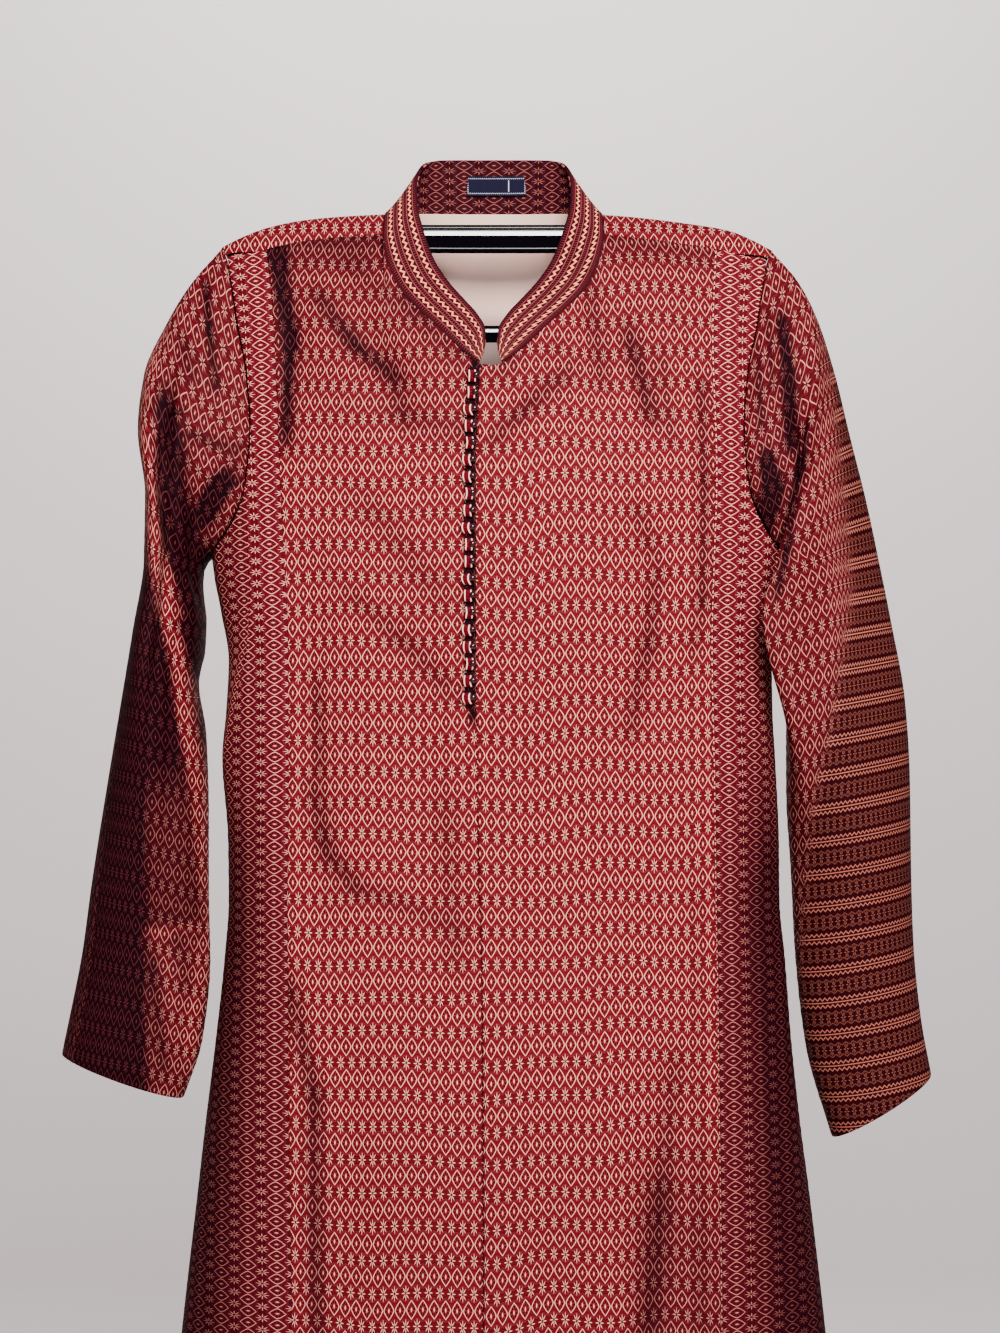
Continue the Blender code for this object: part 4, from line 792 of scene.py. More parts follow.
def back_panel(across, down):
    """The back, across from one princess seam to the other, down from the shoulder seams.

    Its top edge runs up one shoulder seam, round the neck and down the other; "fall" is the
    height below the ridge, negative in front.
    """
    out = (across - 0.5) * 2                     # 0 at the nape, -1 and 1 at the outer edges
    away = np.abs(out)
    side = np.where(out < 0, -1.0, 1.0)
    station = np.interp(away, np.linspace(0, BACK_NECK_SHARE, len(BACK_NECK)), BACK_NECK)
    neck_x, neck_z, behind = neck_seam(side, np.clip(station, 0, SHOULDER_STATION))
    point_x = neck_seam(side, np.float64(SHOULDER_STATION))[0]
    beyond = (away - BACK_NECK_SHARE) / (1 - BACK_NECK_SHARE)
    seam_x = point_x + (side * SHOULDER_SEAM_END - point_x) * beyond
    on_neck = away < BACK_NECK_SHARE
    neck_fall = neck_z - ridge(neck_x)
    top_x = np.where(on_neck, neck_x, seam_x)
    top_fall = np.where(on_neck, np.where(behind, 0.0, neck_fall), -seam_fall(seam_x))
    rise = np.where(on_neck & behind, neck_fall, 0.0)
    start, finish = way_of(top_fall), way_of(ridge(top_x) - HEM_Z)
    way = start + (finish - start) * np.maximum(down, 0.0) ** ROWS_TO_TOP + np.minimum(down, 0.0)
    fall = fall_of(way)
    share = evened(top_x / back_edge(side, top_fall), out, (way - start) / 3.0)
    extra = np.zeros_like(fall)
    for _ in range(4):                           # brings every column to the same hem
        x = share * back_edge(side, fall + extra)
        extra = (ridge(x) - ridge(top_x)) * ease(down / 0.9)
    z = ridge(x) - np.abs(fall + extra) + rise * (1 - ease(down / 0.16))
    return np.where((fall < 0)[..., None], body_at(x, z), body_at(x, z, True))


def back_creases(points):
    return creases(points[..., 0], points[..., 2], BACK_CREASES) * (points[..., 1] > 0)


# painted shade: a little everywhere, more in the back's creases
for name, start in (("left", 0.0), ("right", 0.5)):
    shell("cloth_back_" + name, "back_" + name,
          lambda a, d, first=start: back_panel(first + 0.5 * a, d), spread(70),
          spread(170, (0.001, 0.0025)) ** 1.15,
          lambda p, s, t: (p[..., 0] * 1.02, -p[..., 2] + 0.004), COAT,
          shade=lambda p, s, t: np.clip(0.12 + 0.6 * back_creases(p), 0, 1),
          dent=lambda p: 0.0024 * back_creases(p))


# ---------------------------------------------------------------- sleeves
# Two-piece sleeves hang half empty: creases fan from the cap, a hollow under the arm, and the
# rows slope down towards the body.  The outer strips turn away, so their motifs close up.
# rings from armhole to cuff: outer and inner edge, middle, depth each way, and a lip in front
SLEEVE_RINGS = {
    -1: millimetres({
        "x_out": [214.5, 235, 256, 274, 278.5, 272.5, 273, 281.5, 292, 305, 315, 323.7,
                  333, 340.1],
        "z_out": [-8.3, -32, -67, -108, -150, -200, -250, -305, -365, -440, -500, -559,
                  -605, -637.3],
        "x_in": [222, 226.5, 229, 229.5, 228.5, 227, 228, 233, 227, 225, 225, 224, 230, 245],
        "z_in": [-250, -256, -264, -274, -287, -302, -323, -350, -390, -450, -510, -565,
                 -625, -671.6],
        "y": [0, -1, -2, -3, -4, -4, -4, -4, -3, -2, 0, 2, 3, 4],
        "front": [40, 46, 52, 56, 58, 60, 62, 63, 60, 54, 47, 40, 35, 30],
        "back": [36, 42, 47, 52, 55, 57, 59, 60, 58, 53, 46, 40, 35, 30],
        "lip": [0, 0, 2, 4, 4, 2, 0, 0, 0, 0, 0, 0, 0, 0]}),
    1: millimetres({
        "x_out": [214.5, 233, 249, 262, 273.5, 286, 296, 306, 316, 320.5, 322, 325, 331, 339.3],
        "z_out": [-11, -33, -66, -108, -157, -208, -256, -305, -360, -420, -490, -555,
                  -610, -653.6],
        "x_in": [222, 226.5, 229, 229.5, 229, 227.5, 226, 225, 224.5, 225, 229, 233, 241, 261.3],
        "z_in": [-250, -257, -265, -275, -288, -302, -318, -345, -385, -435, -495, -562,
                 -630, -702],
        "y": [0, -2, -4, -7, -10, -12, -13, -12, -10, -6, -2, 2, 3, 4],
        "front": [40, 46, 52, 55, 57, 58, 58, 57, 54, 50, 45, 40, 35, 31],
        "back": [36, 42, 46, 49, 50, 51, 51, 50, 49, 47, 44, 40, 35, 31],
        "lip": [0, 4, 10, 19, 32, 48, 58, 52, 36, 16, 0, 0, 0, 0]})}
LAST_RING = 13
HIND_SEAM = {-1: [-55.0, -25.0, 12.0, 30.0, 38.0, 42.0],          # turn, armhole to cuff
             1: [-55.0, -48.0, -40.0, -34.0, -30.0, -28.0]}
FRONT_ARM_SEAM = 186.0      # turn of the front seam, just behind the inner edge
ARMHOLE_FADE = 0.14         # share of the sleeve over which the armhole's shape fades out
SLEEVE_START = 0.004        # share left for the seam between the armhole and the sleeve
# folds: start turn, start share, end turn, end share, depth, half width in degrees
SLEEVE_FOLDS = {
    -1: metres([
        (20, 0.04, 95, 0.26, 5, 13), (60, 0.22, 75, 0.52, 9, 15), (130, 0.12, 150, 0.3, 8, 13),
        (120, 0.42, 110, 0.8, 5, 16), (-60, 0.1, -95, 0.4, 6, 16),
        (-100, 0.5, -80, 0.9, 5, 18)], (1, 3)),
    1: metres([
        (25, 0.05, 100, 0.24, 6, 13), (105, 0.14, 135, 0.3, 10, 13), (45, 0.25, 110, 0.42, 6, 14),
        (60, 0.5, 100, 0.66, 4, 15), (-60, 0.1, -100, 0.38, 6, 16),
        (-90, 0.5, -70, 0.9, 5, 18)], (1, 3))}
SHARE_SCALE = 0.35          # a whole sleeve's share counts as this many thousand degrees
SLEEVE_ROWS = {             # height, slope of the rows, rows' closeness down, sleeve's middle
    "z": [0.0, -0.10, -0.20, -0.30, -0.45, -0.65],
    "slope": [1.00, 0.98, 0.66, 0.32, 0.34, 0.38],
    "rate": [0.80, 0.80, 0.88, 0.95, 0.97, 0.97],
    "middle": [0.205, 0.222, 0.240, 0.256, 0.274, 0.292]}
EASED = 1.06                # cloth is this much wider than the sleeve looks from in front
TURNED_FROM = [0.05, 0.12, 0.28, 0.36, 0.44, 0.60]      # depths below the bar, +X sleeve
# from here outwards the cloth turns away and its motifs close up: depths, distances from x = 0
CLOSE_FROM = {1: (TURNED_FROM, [0.240, 0.250, 0.262, 0.250, 0.238, 0.236]),
              -1: ([0.20, 0.27, 0.32, 0.38, 0.55], [0.300, 0.272, 0.272, 0.2745, 0.278])}
# painted shade in the sleeves' creases, and in the hollows where they fold under the arm
SLEEVE_SHADE = {
    -1: metres([
        (-225.2, -42, -219.9, -80, 0.6, 3.6), (-219.9, -80, -214.6, -120, 0.5, 4),
        (-254, -140, -247, -170, 0.7, 12), (-250, -170, -243, -235, 0.85, 12.5),
        (-244, -235, -233, -262, 1, 8), (-263, -139, -241, -142, 0.6, 2.8),
        (-221.5, -214, -212, -200, 1.5, 7.8), (-220, -202, -196, -194, 0.6, 2.8),
        (-236, -244, -217, -260, 0.8, 5), (-229, -262, -220, -300, 0.9, 7.5),
        (-231, -160, -199, -170, 0.35, 6), (-206, -240, -199, -256, 0.4, 3),
        (-240, -90, -233, -110, 0.3, 6), (-262, -565, -257, -640, 0.4, 5.5),
        (-244, -545, -240, -575, 0.25, 7)], 4),
    1: metres([
        (219, -72, 222, -118, 0.75, 5.2), (222, -118, 223.5, -163, 0.8, 5.8),
        (206, -182, 209, -204, 1.2, 6), (209, -204, 203, -225, 1.5, 7.5),
        (203, -225, 200.5, -240, 0.9, 5), (200, -240, 195.5, -270, 0.6, 3.6),
        (234, -155, 230, -186, 0.5, 3.6), (229.8, -180, 218, -247, 0.55, 3.6),
        (218, -247, 211, -277, 0.55, 4), (199, -90, 201, -150, 0.4, 3.6),
        (208, -60, 210, -120, 0.3, 3.4)], 4)}
# the lit ridge of the -X sleeve: depths, distances from x = 0
LIT_RIDGE = ([0.14, 0.19, 0.235, 0.27, 0.30, 0.334, 0.372, 0.405, 0.436, 0.49, 0.535, 0.62],
             [0.266, 0.264, 0.258, 0.251, 0.247, 0.241, 0.237, 0.232, 0.228, 0.225, 0.222, 0.236])


def sleeve(side, turn, share):
    """Point of a sleeve at a turn round the ring (0 outside, 90 in front) and a share down."""
    rings = SLEEVE_RINGS[side]
    angle = np.radians(turn)

    def ring(row):
        """Middle of a ring, and its point at the turn."""
        out_x, in_x, out_z, in_z, y, front, back, lip = (
            smooth(row, np.arange(LAST_RING + 1), rings[key])
            for key in ("x_out", "x_in", "z_out", "z_in", "y", "front", "back", "lip"))
        in_front = np.sin(angle) > 0
        lip = np.where(in_front, lip, 0.0) * np.sin(angle) ** 2
        middle_x, middle_z = (out_x + in_x) / 2, (out_z + in_z) / 2
        x = middle_x + (out_x - in_x) / 2 * np.cos(angle) - lip
        z = middle_z + (out_z - in_z) / 2 * np.cos(angle)
        point = side * x, y - np.where(in_front, front, back) * np.sin(angle), z
        return stacked(side * middle_x, y, middle_z), stacked(*point)

    row = np.clip(share, 0, 1) * LAST_RING
    middle, points = ring(row)
    fade = (1 - ease(share / ARMHOLE_FADE))[..., None]
    points = points + (body(*armhole(side, turn)) - ring(np.zeros_like(row))[1]) * fade
    # soft troughs, pressed towards the middle of the ring
    near = (turn + 180.0) % 360.0 - 180.0
    folds = SLEEVE_FOLDS[side] * (1, SHARE_SCALE, 1, SHARE_SCALE, 1, 1)
    depth = fold_depth(near / 1000, share * SHARE_SCALE, folds) * ease(share / 0.06)
    inward = middle - points
    return points + inward / np.linalg.norm(inward, axis=-1, keepdims=True) * depth[..., None]


def sleeve_panel(side, front, across, down):
    """The part of a sleeve in front of its two seams, or the part behind them."""
    share = SLEEVE_START + (1 - SLEEVE_START) * down
    hind = smooth(share, np.linspace(0, 1, len(HIND_SEAM[side])), HIND_SEAM[side])
    start, end = (FRONT_ARM_SEAM, hind) if front else (hind, FRONT_ARM_SEAM - 360.0)
    return sleeve(side, start + (end - start) * across, share)


def sleeve_place(side, front):
    """The rows' place and the way round, from where a point is and how far it has turned away."""
    rings = SLEEVE_RINGS[side]
    ring_z = (rings["z_out"] + rings["z_in"]) / 2

    def cloth(points, s, t):
        x, y, z = np.abs(points[..., 0]), points[..., 1], points[..., 2]
        levels = np.linspace(0.02, -0.72, 200)
        slope, rate, middle = (read(SLEEVE_ROWS, key, levels)
                               for key in ("slope", "rate", "middle"))
        rows = np.cumsum(rate * 0.74 / 199 + slope * np.gradient(middle))
        rows, slope, middle = (np.interp(-z, -levels, column) for column in (rows, slope, middle))
        low = -np.minimum(z, -0.12)
        edge = np.interp(low, -rings["z_out"], rings["x_out"])
        mid = (edge + np.interp(low, -rings["z_in"], rings["x_in"])) / 2
        weight = (-0.25 + 1.20 * ease((x - mid) / 0.036 + 0.5)) * past(-z, 0.02, 0.10)

        def at_ring(y):
            return np.interp(-z, -ring_z, y)

        if front:
            peak = x.argmax(axis=1)[:, None]      # past its outermost line the cloth runs back
            turned = (y > np.take_along_axis(y, peak, 1)) & (x > mid)
            x = np.where(turned, 2 * x.max(axis=1, keepdims=True) - x, x)
            beyond = 0.003 * np.logaddexp(0, (x - np.interp(-z, *CLOSE_FROM[side])) / 0.003)
            close = (0.62 - 0.22 * past(-z, 0.46, 0.10)) * beyond
            deep = (y - at_ring(rings["y"] - rings["front"])) * weight
            return EASED * (x - mid) + close + deep, rows + slope * (x - middle - 0.5 * beyond)
        middle_y = at_ring(rings["y"])
        deep = np.maximum(0, at_ring(rings["y"] + rings["back"]) - np.maximum(y, middle_y))
        inside = np.where(y < middle_y, 3.2 * np.maximum(0, edge - x), 0)
        return EASED * (x - mid) + deep * weight + inside, rows + slope * (x - middle)
    return cloth


def left_sleeve_shade(x, z):
    """Painted shade: dark but for a painted highlight along the lit ridge, lighter towards the
    body near the cuff, with a painted light line along one fold.
    """
    on_ridge = np.abs(x - np.interp(-z, *LIT_RIDGE)) / np.where(-z < 0.30, 0.0085, 0.0058)
    on_ridge = np.exp(-on_ridge ** 3)
    lighter = 0.14 + 0.26 * past(-z, 0.39, 0.07) + 0.38 * past(-z, 0.525, 0.035)
    # painted highlight: a light line along a fold
    painted_fold_highlight = 0.35 * np.exp(-((z + 0.537 + 0.10 * (x - 0.245)) / 0.0045) ** 2)
    dark = 0.97 - (lighter + painted_fold_highlight) * (1 - past(x, 0.258, 0.020))
    return past(-z, 0.20, 0.09) * (dark - 0.20) * (1 - on_ridge) - 0.36 * on_ridge


def right_sleeve_shade(x, z):
    edge = np.interp(-z, TURNED_FROM, [0.236, 0.246, 0.258, 0.246, 0.234, 0.244])
    return 0.02 * past(x, edge, 0.014) + 0.05 * past(-z, 0.30, 0.2)


def sleeve_shade(side, front):
    # painted shade: the under sleeves sit in it, the top sleeves in their creases and hollows
    def give(points, s, t):
        x, z = points[..., 0], points[..., 2]
        if not front:
            return 0.50 + 0.43 * past(-points[..., 1], -0.010, 0.02) * (side < 0)
        turned = left_sleeve_shade if side < 0 else right_sleeve_shade
        return np.clip(0.40 + creases(x, z, SLEEVE_SHADE[side]) + turned(np.abs(x), z), 0, 1)
    return give


def copper_sheen(front):
    """Painted sheen: the +X sleeve's light threads look coppery over a darker ground, outwards
    and down.
    """
    def give(points, s, t):
        x, y, z = np.moveaxis(points, -1, 0)
        edge = np.interp(-z, TURNED_FROM, [0.240, 0.250, 0.262, 0.248, 0.232, 0.226])
        faded = 1.0 if front else 1 - past(y, 0.006, 0.026)
        return ease((x - edge) / 0.020 + 0.2) * past(-z, 0.04, 0.08) * faded
    return give


for name, side in SIDES.items():
    for kind, front in (("top", True), ("under", False)):
        shell(f"cloth_{kind}_sleeve_{name}", f"{kind}_sleeve_{name}",
              lambda a, d, q=side, f=front: sleeve_panel(q, f, a, d),
              spread(104 if front else 44), spread(210 if front else 150, (0.001, 0.0025)),
              sleeve_place(side, front), COAT, flip=side > 0, shade=sleeve_shade(side, front),
              painted_copper_sheen=copper_sheen(front) if side > 0 else None,
              wall=lambda p: 0.0004 + 0.0008 * past(-p[..., 2], 0.50, 0.05), lined_below=-0.32)


# ---------------------------------------------------------------- collar
# The stand collar's outside carries three woven zigzag bands between pairs of fine lines, with
# a dark corded edge; its facing is the brocade with the ovals lying flat, painted darker as
# the shade inside the collar.
COLLAR_FOOT = 0.0016        # gap between the neck seam and the collar's lower edge
COLLAR_WIDTH = 0.0390       # woven width of the collar


def collar(station, up):
    """The collar at a signed station, 0 at the nape and negative on -X, up from the neck seam."""
    side = np.where(station < 0, -1.0, 1.0)
    away = np.minimum(np.abs(station), COLLAR_STATIONS)
    neck_x, neck_z, behind = neck_seam(side, away)
    low = np.where(behind[..., None], body_at(neck_x, neck_z, True), body_at(neck_x, neck_z))
    top_z = collar_column(away, "top_z")
    high = stacked(neck_centre(top_z) + side * collar_column(away, "top_x"),
                   collar_column(away, "top_y"), top_z)
    rise = high - low
    height = np.linalg.norm(rise, axis=-1, keepdims=True)
    return low + rise / height * (COLLAR_FOOT + (height - COLLAR_FOOT) * up[..., None])


def collar_bands():
    material, shader, across, along = woven("collar bands", 0.6, Specular_IOR_Level=MATT)
    saw = abs((across * (1 / 0.0054)).centred()) * 2.0 - 0.5
    edge = along.band(-1.0, 0.0016, 0.0003).above(along.step(0.0380, 0.0388))
    bands = []
    for centre in (0.0088, 0.0196, 0.0304):
        off = along - centre
        bands.append((abs(off - saw * 0.0028).step(0.00118, 0.00068),       # zigzag
                      abs(abs(off) - 0.0034).step(0.00050, 0.00022),        # fine lines
                      abs(abs(off) - 0.0054).step(0.0017, 0.0012)))         # dark stripes
    orange, light, dark = (a.above(b).above(c) for a, b, c in zip(*bands))
    pips = (across * (2 * math.pi / 0.0021)).sin().step(0.1, 0.6) * dark * 0.75
    speck = noise(across, along, 900.0, 2.0, 0.6).step(0.4, 0.62)
    cloth = dark.mix((0.026, 0.0006, 0.0019), (0.0035, 0.0003, 0.0011))
    for mask, colour in (
            (pips * 0.7, (0.18, 0.025, 0.035)), ((1.0 - speck) * 0.35, (0.04, 0.002, 0.005)),
            (light * 0.5, (0.34, 0.075, 0.075)), (orange, (0.68, 0.220, 0.132)),
            (edge, (0.022, 0.003, 0.006))):
        cloth = mask.mix(cloth, colour)
    dress(shader, cloth, orange + light * 0.5 + speck * 0.2, 0.0003, 0.6)
    return material


# a darker copy of the brocade, with painted shade over it, for the facing in the collar
shaded_facing_cloth = brocade("facing", ground=(0.020, 0.0007, 0.0020), thread=(0.34, 0.10, 0.09),
                       base_shade=0.20)
collar_stations = np.concatenate((-np.linspace(COLLAR_END, 0, 120)[:-1],
                                  np.linspace(0, COLLAR_END, 120)))
shell("collar_bands", "collar_outer", lambda a, d: collar(a, 1 - 1.035 * d), collar_stations,
      spread(26, (0.01, 0.02)), lambda p, s, t: (s, t / t[-1:] * COLLAR_WIDTH), [collar_bands()],
      lift=0.0002, pucker=0.0001)
shell("shaded_facing_cloth", "collar_facing", lambda a, d: collar(a, 1 - 1.09 * d), collar_stations,
      spread(26, (0.01, 0.02)),
      lambda p, s, t: (t, s - s[:, s.shape[1] // 2][:, None] + 0.0121), [shaded_facing_cloth],
      lift=-0.0026, wall=-0.0011, pucker=0.0001)


# ---------------------------------------------------------------- lining and neck label
# Plain beige lining inside the upper back; the woven label is bare but for its border.
LINING_STATION = 3.1        # the strip's upper corners on the neck seam
LINING_HALF = 0.100         # half width lower down
LINING_DROP, LINING_BOTTOM = 0.0012, -0.1500
LABEL_LOW, LABEL_HIGH = 0.30, 0.68      # the label's edges as shares of the collar's height


def lining_panel(across, down):
    """The strip of lining inside the back, from under the neck seam down."""
    out = (across - 0.5) * 2
    side = np.where(out < 0, -1.0, 1.0)
    top_x, top_z, _ = neck_seam(side, np.abs(out) * LINING_STATION)
    z = top_z - LINING_DROP + (LINING_BOTTOM - top_z + LINING_DROP) * down
    x = top_x + (out * LINING_HALF - top_x) * ease(down / 0.6)
    return body_at(x, z, True)


def label_material():
    material, shader, across, along = woven("label", 0.8, Specular_IOR_Level=MATT)
    x, y = abs(across), abs(along)
    ribs = (across * (2 * math.pi / 0.0009)).sin() * 0.5 + 0.5
    border = abs(x - 0.0234).step(0.0005, 0.0002) * y.step(0.0064, 0.0060)
    border = border.above(abs(y - 0.0058).step(0.0005, 0.0002) * x.step(0.0237, 0.0233))
    border = border * (across * (2 * math.pi / 0.0016) + along * 3900.0).sin().step(-0.3, 0.3)
    divider = abs(across - 0.0100).step(0.0004, 0.0002) * y.step(0.0045, 0.0042)
    cloth = ribs.mix((0.004, 0.0035, 0.011), (0.011, 0.009, 0.024))
    cloth = (border * 0.7).above(divider).mix(cloth, (0.55, 0.56, 0.66))
    dress(shader, cloth, ribs, 0.0002, 0.4)
    return material


shell("lining_cloth", "back_lining", lining_panel, spread(60), spread(50),
      lambda p, s, t: (p[..., 0], -p[..., 2]), [lining_cloth], lift=-0.0041, wall=0.0009)
shell("label_cloth", "neck_label",
      lambda a, d: collar(a, LABEL_HIGH + (LABEL_LOW - LABEL_HIGH) * d),
      np.linspace(-0.73, 0.87, 40), spread(14),
      lambda p, s, t: (s - s[:, -1:] / 2, t - t[-1:] / 2), [label_material()],
      lift=-0.0045, wall=-0.0007, pucker=0.0)


# ---------------------------------------------------------------- loops and ball buttons
# Rolled cloth loops stand on the overlapping edge, two light threads along each; a dark
# covered ball sits in every loop.
LOOP_WIDTH, LOOP_THICKNESS = 0.0066, 0.0026
LOOP_REACH = 0.0050         # the loop runs this far above and below its middle
BALL = 0.0027               # radius of a ball
PAIRS = 20


def rouleau_material():
    material, shader, across, along = woven("rouleau", 0.6, Specular_IOR_Level=MATT)
    line = abs(abs(along) - 0.68).step(0.17, 0.08)
    knots = (across * 2900.0 + along * 4.0).sin().step(0.2, 0.7) * abs(along).step(0.45, 0.30)
    cloth = (knots * 0.8).mix((0.090, 0.001, 0.005), (0.020, 0.001, 0.003))
    cloth = line.mix(cloth, (0.97, 0.55, 0.42))
    # painted shadow: both ends of the loop go near black, in the gaps between loops
    ends = abs(across - 0.0054).step(0.0034, 0.0044).mix(cloth, (0.008, 0.001, 0.003))
    across.tree.links.new(ends.socket, shader.inputs["Base Color"])
    return material


rouleau_cloth = rouleau_material()
ball_cloth = principled("ball", 0.22, Coat_Weight=0.5, Base_Color=(0.012, 0.001, 0.004, 1),
                        Specular_Tint=(1.0, 0.45, 0.55, 1))[0]


def loop_mesh(name, low, middle, bow):
    """A flat rolled cord with an oval section; it bows, and its ends roll back to the cloth."""
    share = np.linspace(-1, 1, 21)
    path = stacked(low[0] + 0.0047 + bow * (1 - share ** 2) + 0.0009 * abs(share) ** 3,
                   low[1] - 0.0006 + 0.0022 * share ** 4, middle[2] + LOOP_REACH * share)
    along = np.gradient(path, axis=0)
    along /= np.linalg.norm(along, axis=1, keepdims=True)
    out = np.cross(along, (1.0, 0.0, 0.0))
    out /= np.linalg.norm(out, axis=1, keepdims=True)
    turns = np.linspace(0, 2 * math.pi, 19)
    ring = path[:, None] + np.sin(turns)[None, :, None] * out[:, None] * LOOP_THICKNESS / 2
    ring[..., 0] += np.cos(turns) * LOOP_WIDTH / 2
    index = np.arange(ring[..., 0].size).reshape(ring.shape[:2])
    faces = stacked(index[:-1, :-1], index[:-1, 1:], index[1:, 1:], index[1:, :-1])
    mesh = bpy.data.meshes.new(name)
    mesh.from_pydata(ring.reshape(-1, 3).tolist(), [], faces.reshape(-1, 4).tolist())
    run = lengths(path[None], 1)[0]
    lay_uv(mesh, stacked(run[:, None], np.cos(turns)[None]).reshape(-1, 2))
    mesh.materials.append(rouleau_cloth)
    return mesh


def ball_mesh(name, middle):
    """A ball with six soft gathers, its poles in front and behind."""
    tilt = np.linspace(0, math.pi, 15)[:, None]
    turn = np.linspace(0, 2 * math.pi, 20, endpoint=False)[None]
    radius = BALL * (1 + 0.03 * np.cos(6 * turn) * np.sin(tilt) ** 2)
    ring = stacked(np.sin(tilt) * np.cos(turn), -np.cos(tilt), np.sin(tilt) * np.sin(turn))
    ring = ring * radius[..., None] + middle
    index = np.arange(radius.size).reshape(radius.shape)
    after = np.roll(index, -1, axis=1)
    faces = stacked(index[:-1], index[1:], after[1:], after[:-1])
    mesh = bpy.data.meshes.new(name)
    mesh.from_pydata(ring.reshape(-1, 3).tolist(), [], faces.reshape(-1, 4).tolist())
    mesh.uv_layers.new(name="cloth")
    mesh.polygons.foreach_set("use_smooth", np.ones(len(mesh.polygons), bool))
    mesh.materials.append(ball_cloth)
    return mesh


for number in range(PAIRS):
    node = f"loop_{number + 1:02d}"
    low, high = (np.array(corner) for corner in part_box(node))
    bow = 0.0019 * math.sin(number * 1.9 + 0.6)         # one way or the other
    put(node + "_cloth", loop_mesh(node, low, (low + high) / 2, bow), node)
    node = f"button_{number + 1:02d}"
    low, high = (np.array(corner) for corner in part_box(node))
    put(node + "_cloth", ball_mesh(node, (low + high) / 2 + (0.0010, 0, 0)), node)


# ---------------------------------------------------------------- hanger
# Moulded black plastic: a frame of two bars, each with fine raised lines, one broad ridge that
# takes the light and a face that leans down from it.
CLOTH = 0.0014              # thickness of the coat's cloth on the bar
HALF_DEPTH = 0.0045         # of the upper bar; the lower one is slimmer
LOWER_HALF_DEPTH = 0.0035
CREST = 0.0090              # highest the upper bar goes
BAR_PROFILE = [             # share from the outer rim to the inner, and how far forward
    (0.00, 0.60), (0.06, 0.90), (0.10, 0.96), (0.13, 0.965), (0.19, 0.88), (0.21, 0.94),
    (0.235, 0.945), (0.25, 0.92), (0.26, 1.00), (0.41, 1.00), (0.43, 0.93), (0.84, 0.52),
    (0.86, 0.64), (0.89, 0.645), (0.93, 0.56), (1.00, 0.40)]
LINE, RIDGE_LIT = 1, 2      # material numbers of the fine lines and the broad ridge


def hanger_rim(x):
    """Height of the bar's outer rim, close under the shoulders' cloth where they rest on it."""
    away = abs(x)
    deep = float(read(BODY_RINGS, "back", 0.0))
    deep *= (1 - (away / 0.222) ** ROUNDNESS) ** (1 / ROUNDNESS)
    under = RIDGE_FALL * (1 - math.sqrt(max(0.0, 1 - (HALF_DEPTH / deep) ** 2)))
    cloth = float(ridge(np.float64(x))) - 1.15 * CLOTH - 0.0026 - under
    cloth -= 0.0020 * float(past(away, 0.140, 0.050))
    lift = float(past(away, 0.0890, 0.022))
    return CREST + (cloth - CREST) * lift if cloth > CREST else min(cloth, CREST)


shares = np.concatenate((np.linspace(-1, -0.36, 24), np.linspace(-0.3, 0.3, 9),
                         np.linspace(0.36, 1, 24)))
outer = [(q * 0.199, hanger_rim(q * 0.199)) for q in shares]
inner = [(q * 0.183, hanger_rim(q * 0.183) - 0.0210 * (1 - 0.35 * abs(q) ** 3)) for q in shares]
outer += [(q * 0.168, -0.08195) for q in shares[::-1]]
inner += [(q * 0.1616, -0.06945) for q in shares[::-1]]
rings = []
for number, ((x1, z1), (x2, z2)) in enumerate(zip(outer, inner)):
    if number < len(shares):
        deep, profile = HALF_DEPTH, BAR_PROFILE
    else:
        deep, profile = LOWER_HALF_DEPTH, [(1 - f, y) for f, y in BAR_PROFILE[::-1]]
    rings.append([(x1 + (x2 - x1) * f, -deep * y, z1 + (z2 - z1) * f) for f, y in profile]
                 + [(x2, deep, z2), (x1, deep, z1)])
index = np.arange(len(rings) * len(rings[0])).reshape(len(rings), -1)
beyond, after = np.roll(index, -1, axis=0), np.roll(index, -1, axis=1)
faces = stacked(index, after, np.roll(beyond, -1, axis=1), beyond).reshape(-1, 4)
mesh = bpy.data.meshes.new("hanger_plastic")
mesh.from_pydata([v for ring in rings for v in ring], [], faces.tolist())
for name, rough, shine, bend in (("black plastic", 0.5, 0.0, 1.45),
                                 ("plastic line", 0.3, 0.4, 1.5),
                                 ("plastic ridge", 0.22, 0.5, 2.9)):
    mesh.materials.append(principled(name, rough, Base_Color=(0.0015, 0.001, 0.002, 1),
                                     Specular_IOR_Level=shine, IOR=bend)[0])
for number, face in enumerate(mesh.polygons):
    ring, place = divmod(number, len(rings[0]))
    if len(shares) <= ring < len(rings) - 1:
        face.material_index = {6: RIDGE_LIT, 9: LINE}.get(place, 0)
    else:
        face.material_index = {2: LINE, 5: LINE, 8: RIDGE_LIT, 12: LINE}.get(place, 0)
mesh.update()
put("hanger_plastic", mesh, "hanger")


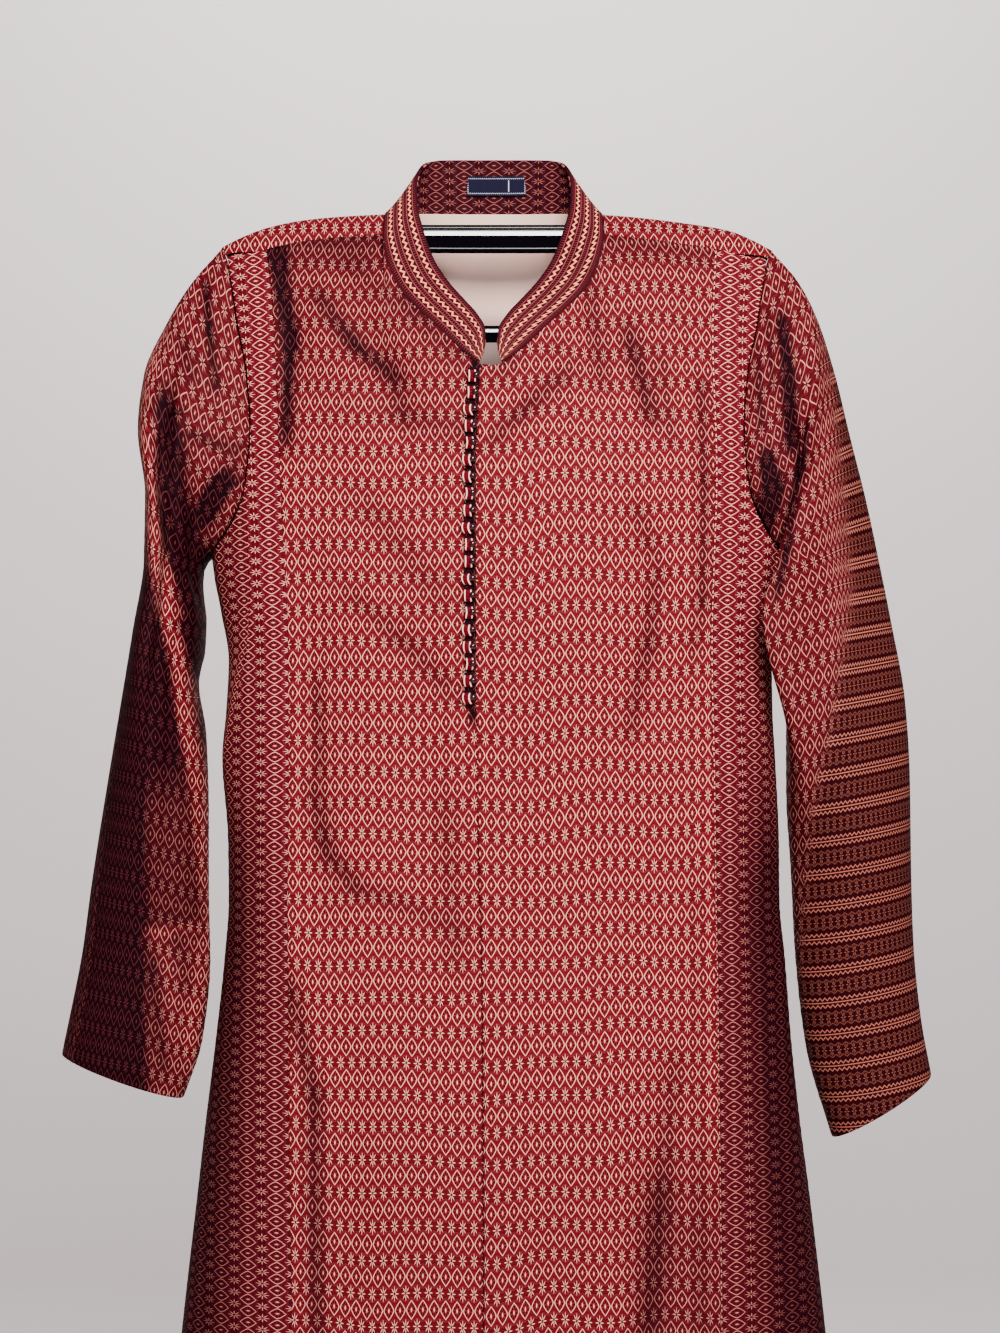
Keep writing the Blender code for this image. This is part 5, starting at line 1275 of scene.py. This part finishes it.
# ---------------------------------------------------------------- studio
# Pale wall and floor, a broad soft light from the front and one from the right above.
floor_mesh = bpy.data.meshes.new("floor")
edge = [(-6.0, -2.30), (3.4, -2.30)]
edge += [(3.4 + 0.5 * math.sin(t), -1.80 - 0.5 * math.cos(t)) for t in np.linspace(0.1, 1.5, 12)]
edge += [(3.9, 6.0)]
floor_mesh.from_pydata([(x, y, z) for y, z in edge for x in (-6.0, 6.0)], [],
                       [(2 * k, 2 * k + 1, 2 * k + 3, 2 * k + 2) for k in range(len(edge) - 1)])
floor_mesh.materials.append(principled("wall", 0.9, Base_Color=(0.62, 0.555, 0.562, 1))[0])
floor_mesh.polygons.foreach_set("use_smooth", [True] * len(floor_mesh.polygons))
place_object("floor", floor_mesh)

world = bpy.data.worlds.new("studio")
bpy.context.scene.world = world
world.use_nodes = True
background = world.node_tree.nodes["Background"]
background.inputs["Color"].default_value = (0.93, 0.95, 1.0, 1)
background.inputs["Strength"].default_value = 0.30
for name, place, aim, size, power, tint in (
        ("key", (0.5, -2.3, 1.1), (0, 0, -0.35), 1.0, 218.0, (1.0, 0.97, 0.94)),
        ("front", (-0.2, -2.9, 0.25), (0, 0, -0.45), 1.2, 74.0, (0.95, 0.97, 1.0)),
        ("wall", (0.0, 2.0, 2.45), (0, 3.9, 1.0), 3.0, 225.0, (1.0, 0.98, 0.97))):
    lamp = bpy.data.lights.new(name, "AREA")
    lamp.size, lamp.energy, lamp.color = size, power, tint
    held = place_object(name, lamp, place)
    held.rotation_euler = (Vector(aim) - Vector(place)).to_track_quat("-Z", "Y").to_euler()

FOCAL_LENGTH, FRAME_HEIGHT = 2307.7, 1333.0     # in pixels
camera = bpy.data.cameras.new("camera")
camera.sensor_fit = "VERTICAL"
camera.sensor_height = 36.0
camera.lens = camera.sensor_height * FOCAL_LENGTH / FRAME_HEIGHT
bpy.context.scene.camera = place_object("camera", camera, (0.0023, -1.8, -0.335))
bpy.context.scene.camera.rotation_euler = (math.pi / 2, 0, 0)
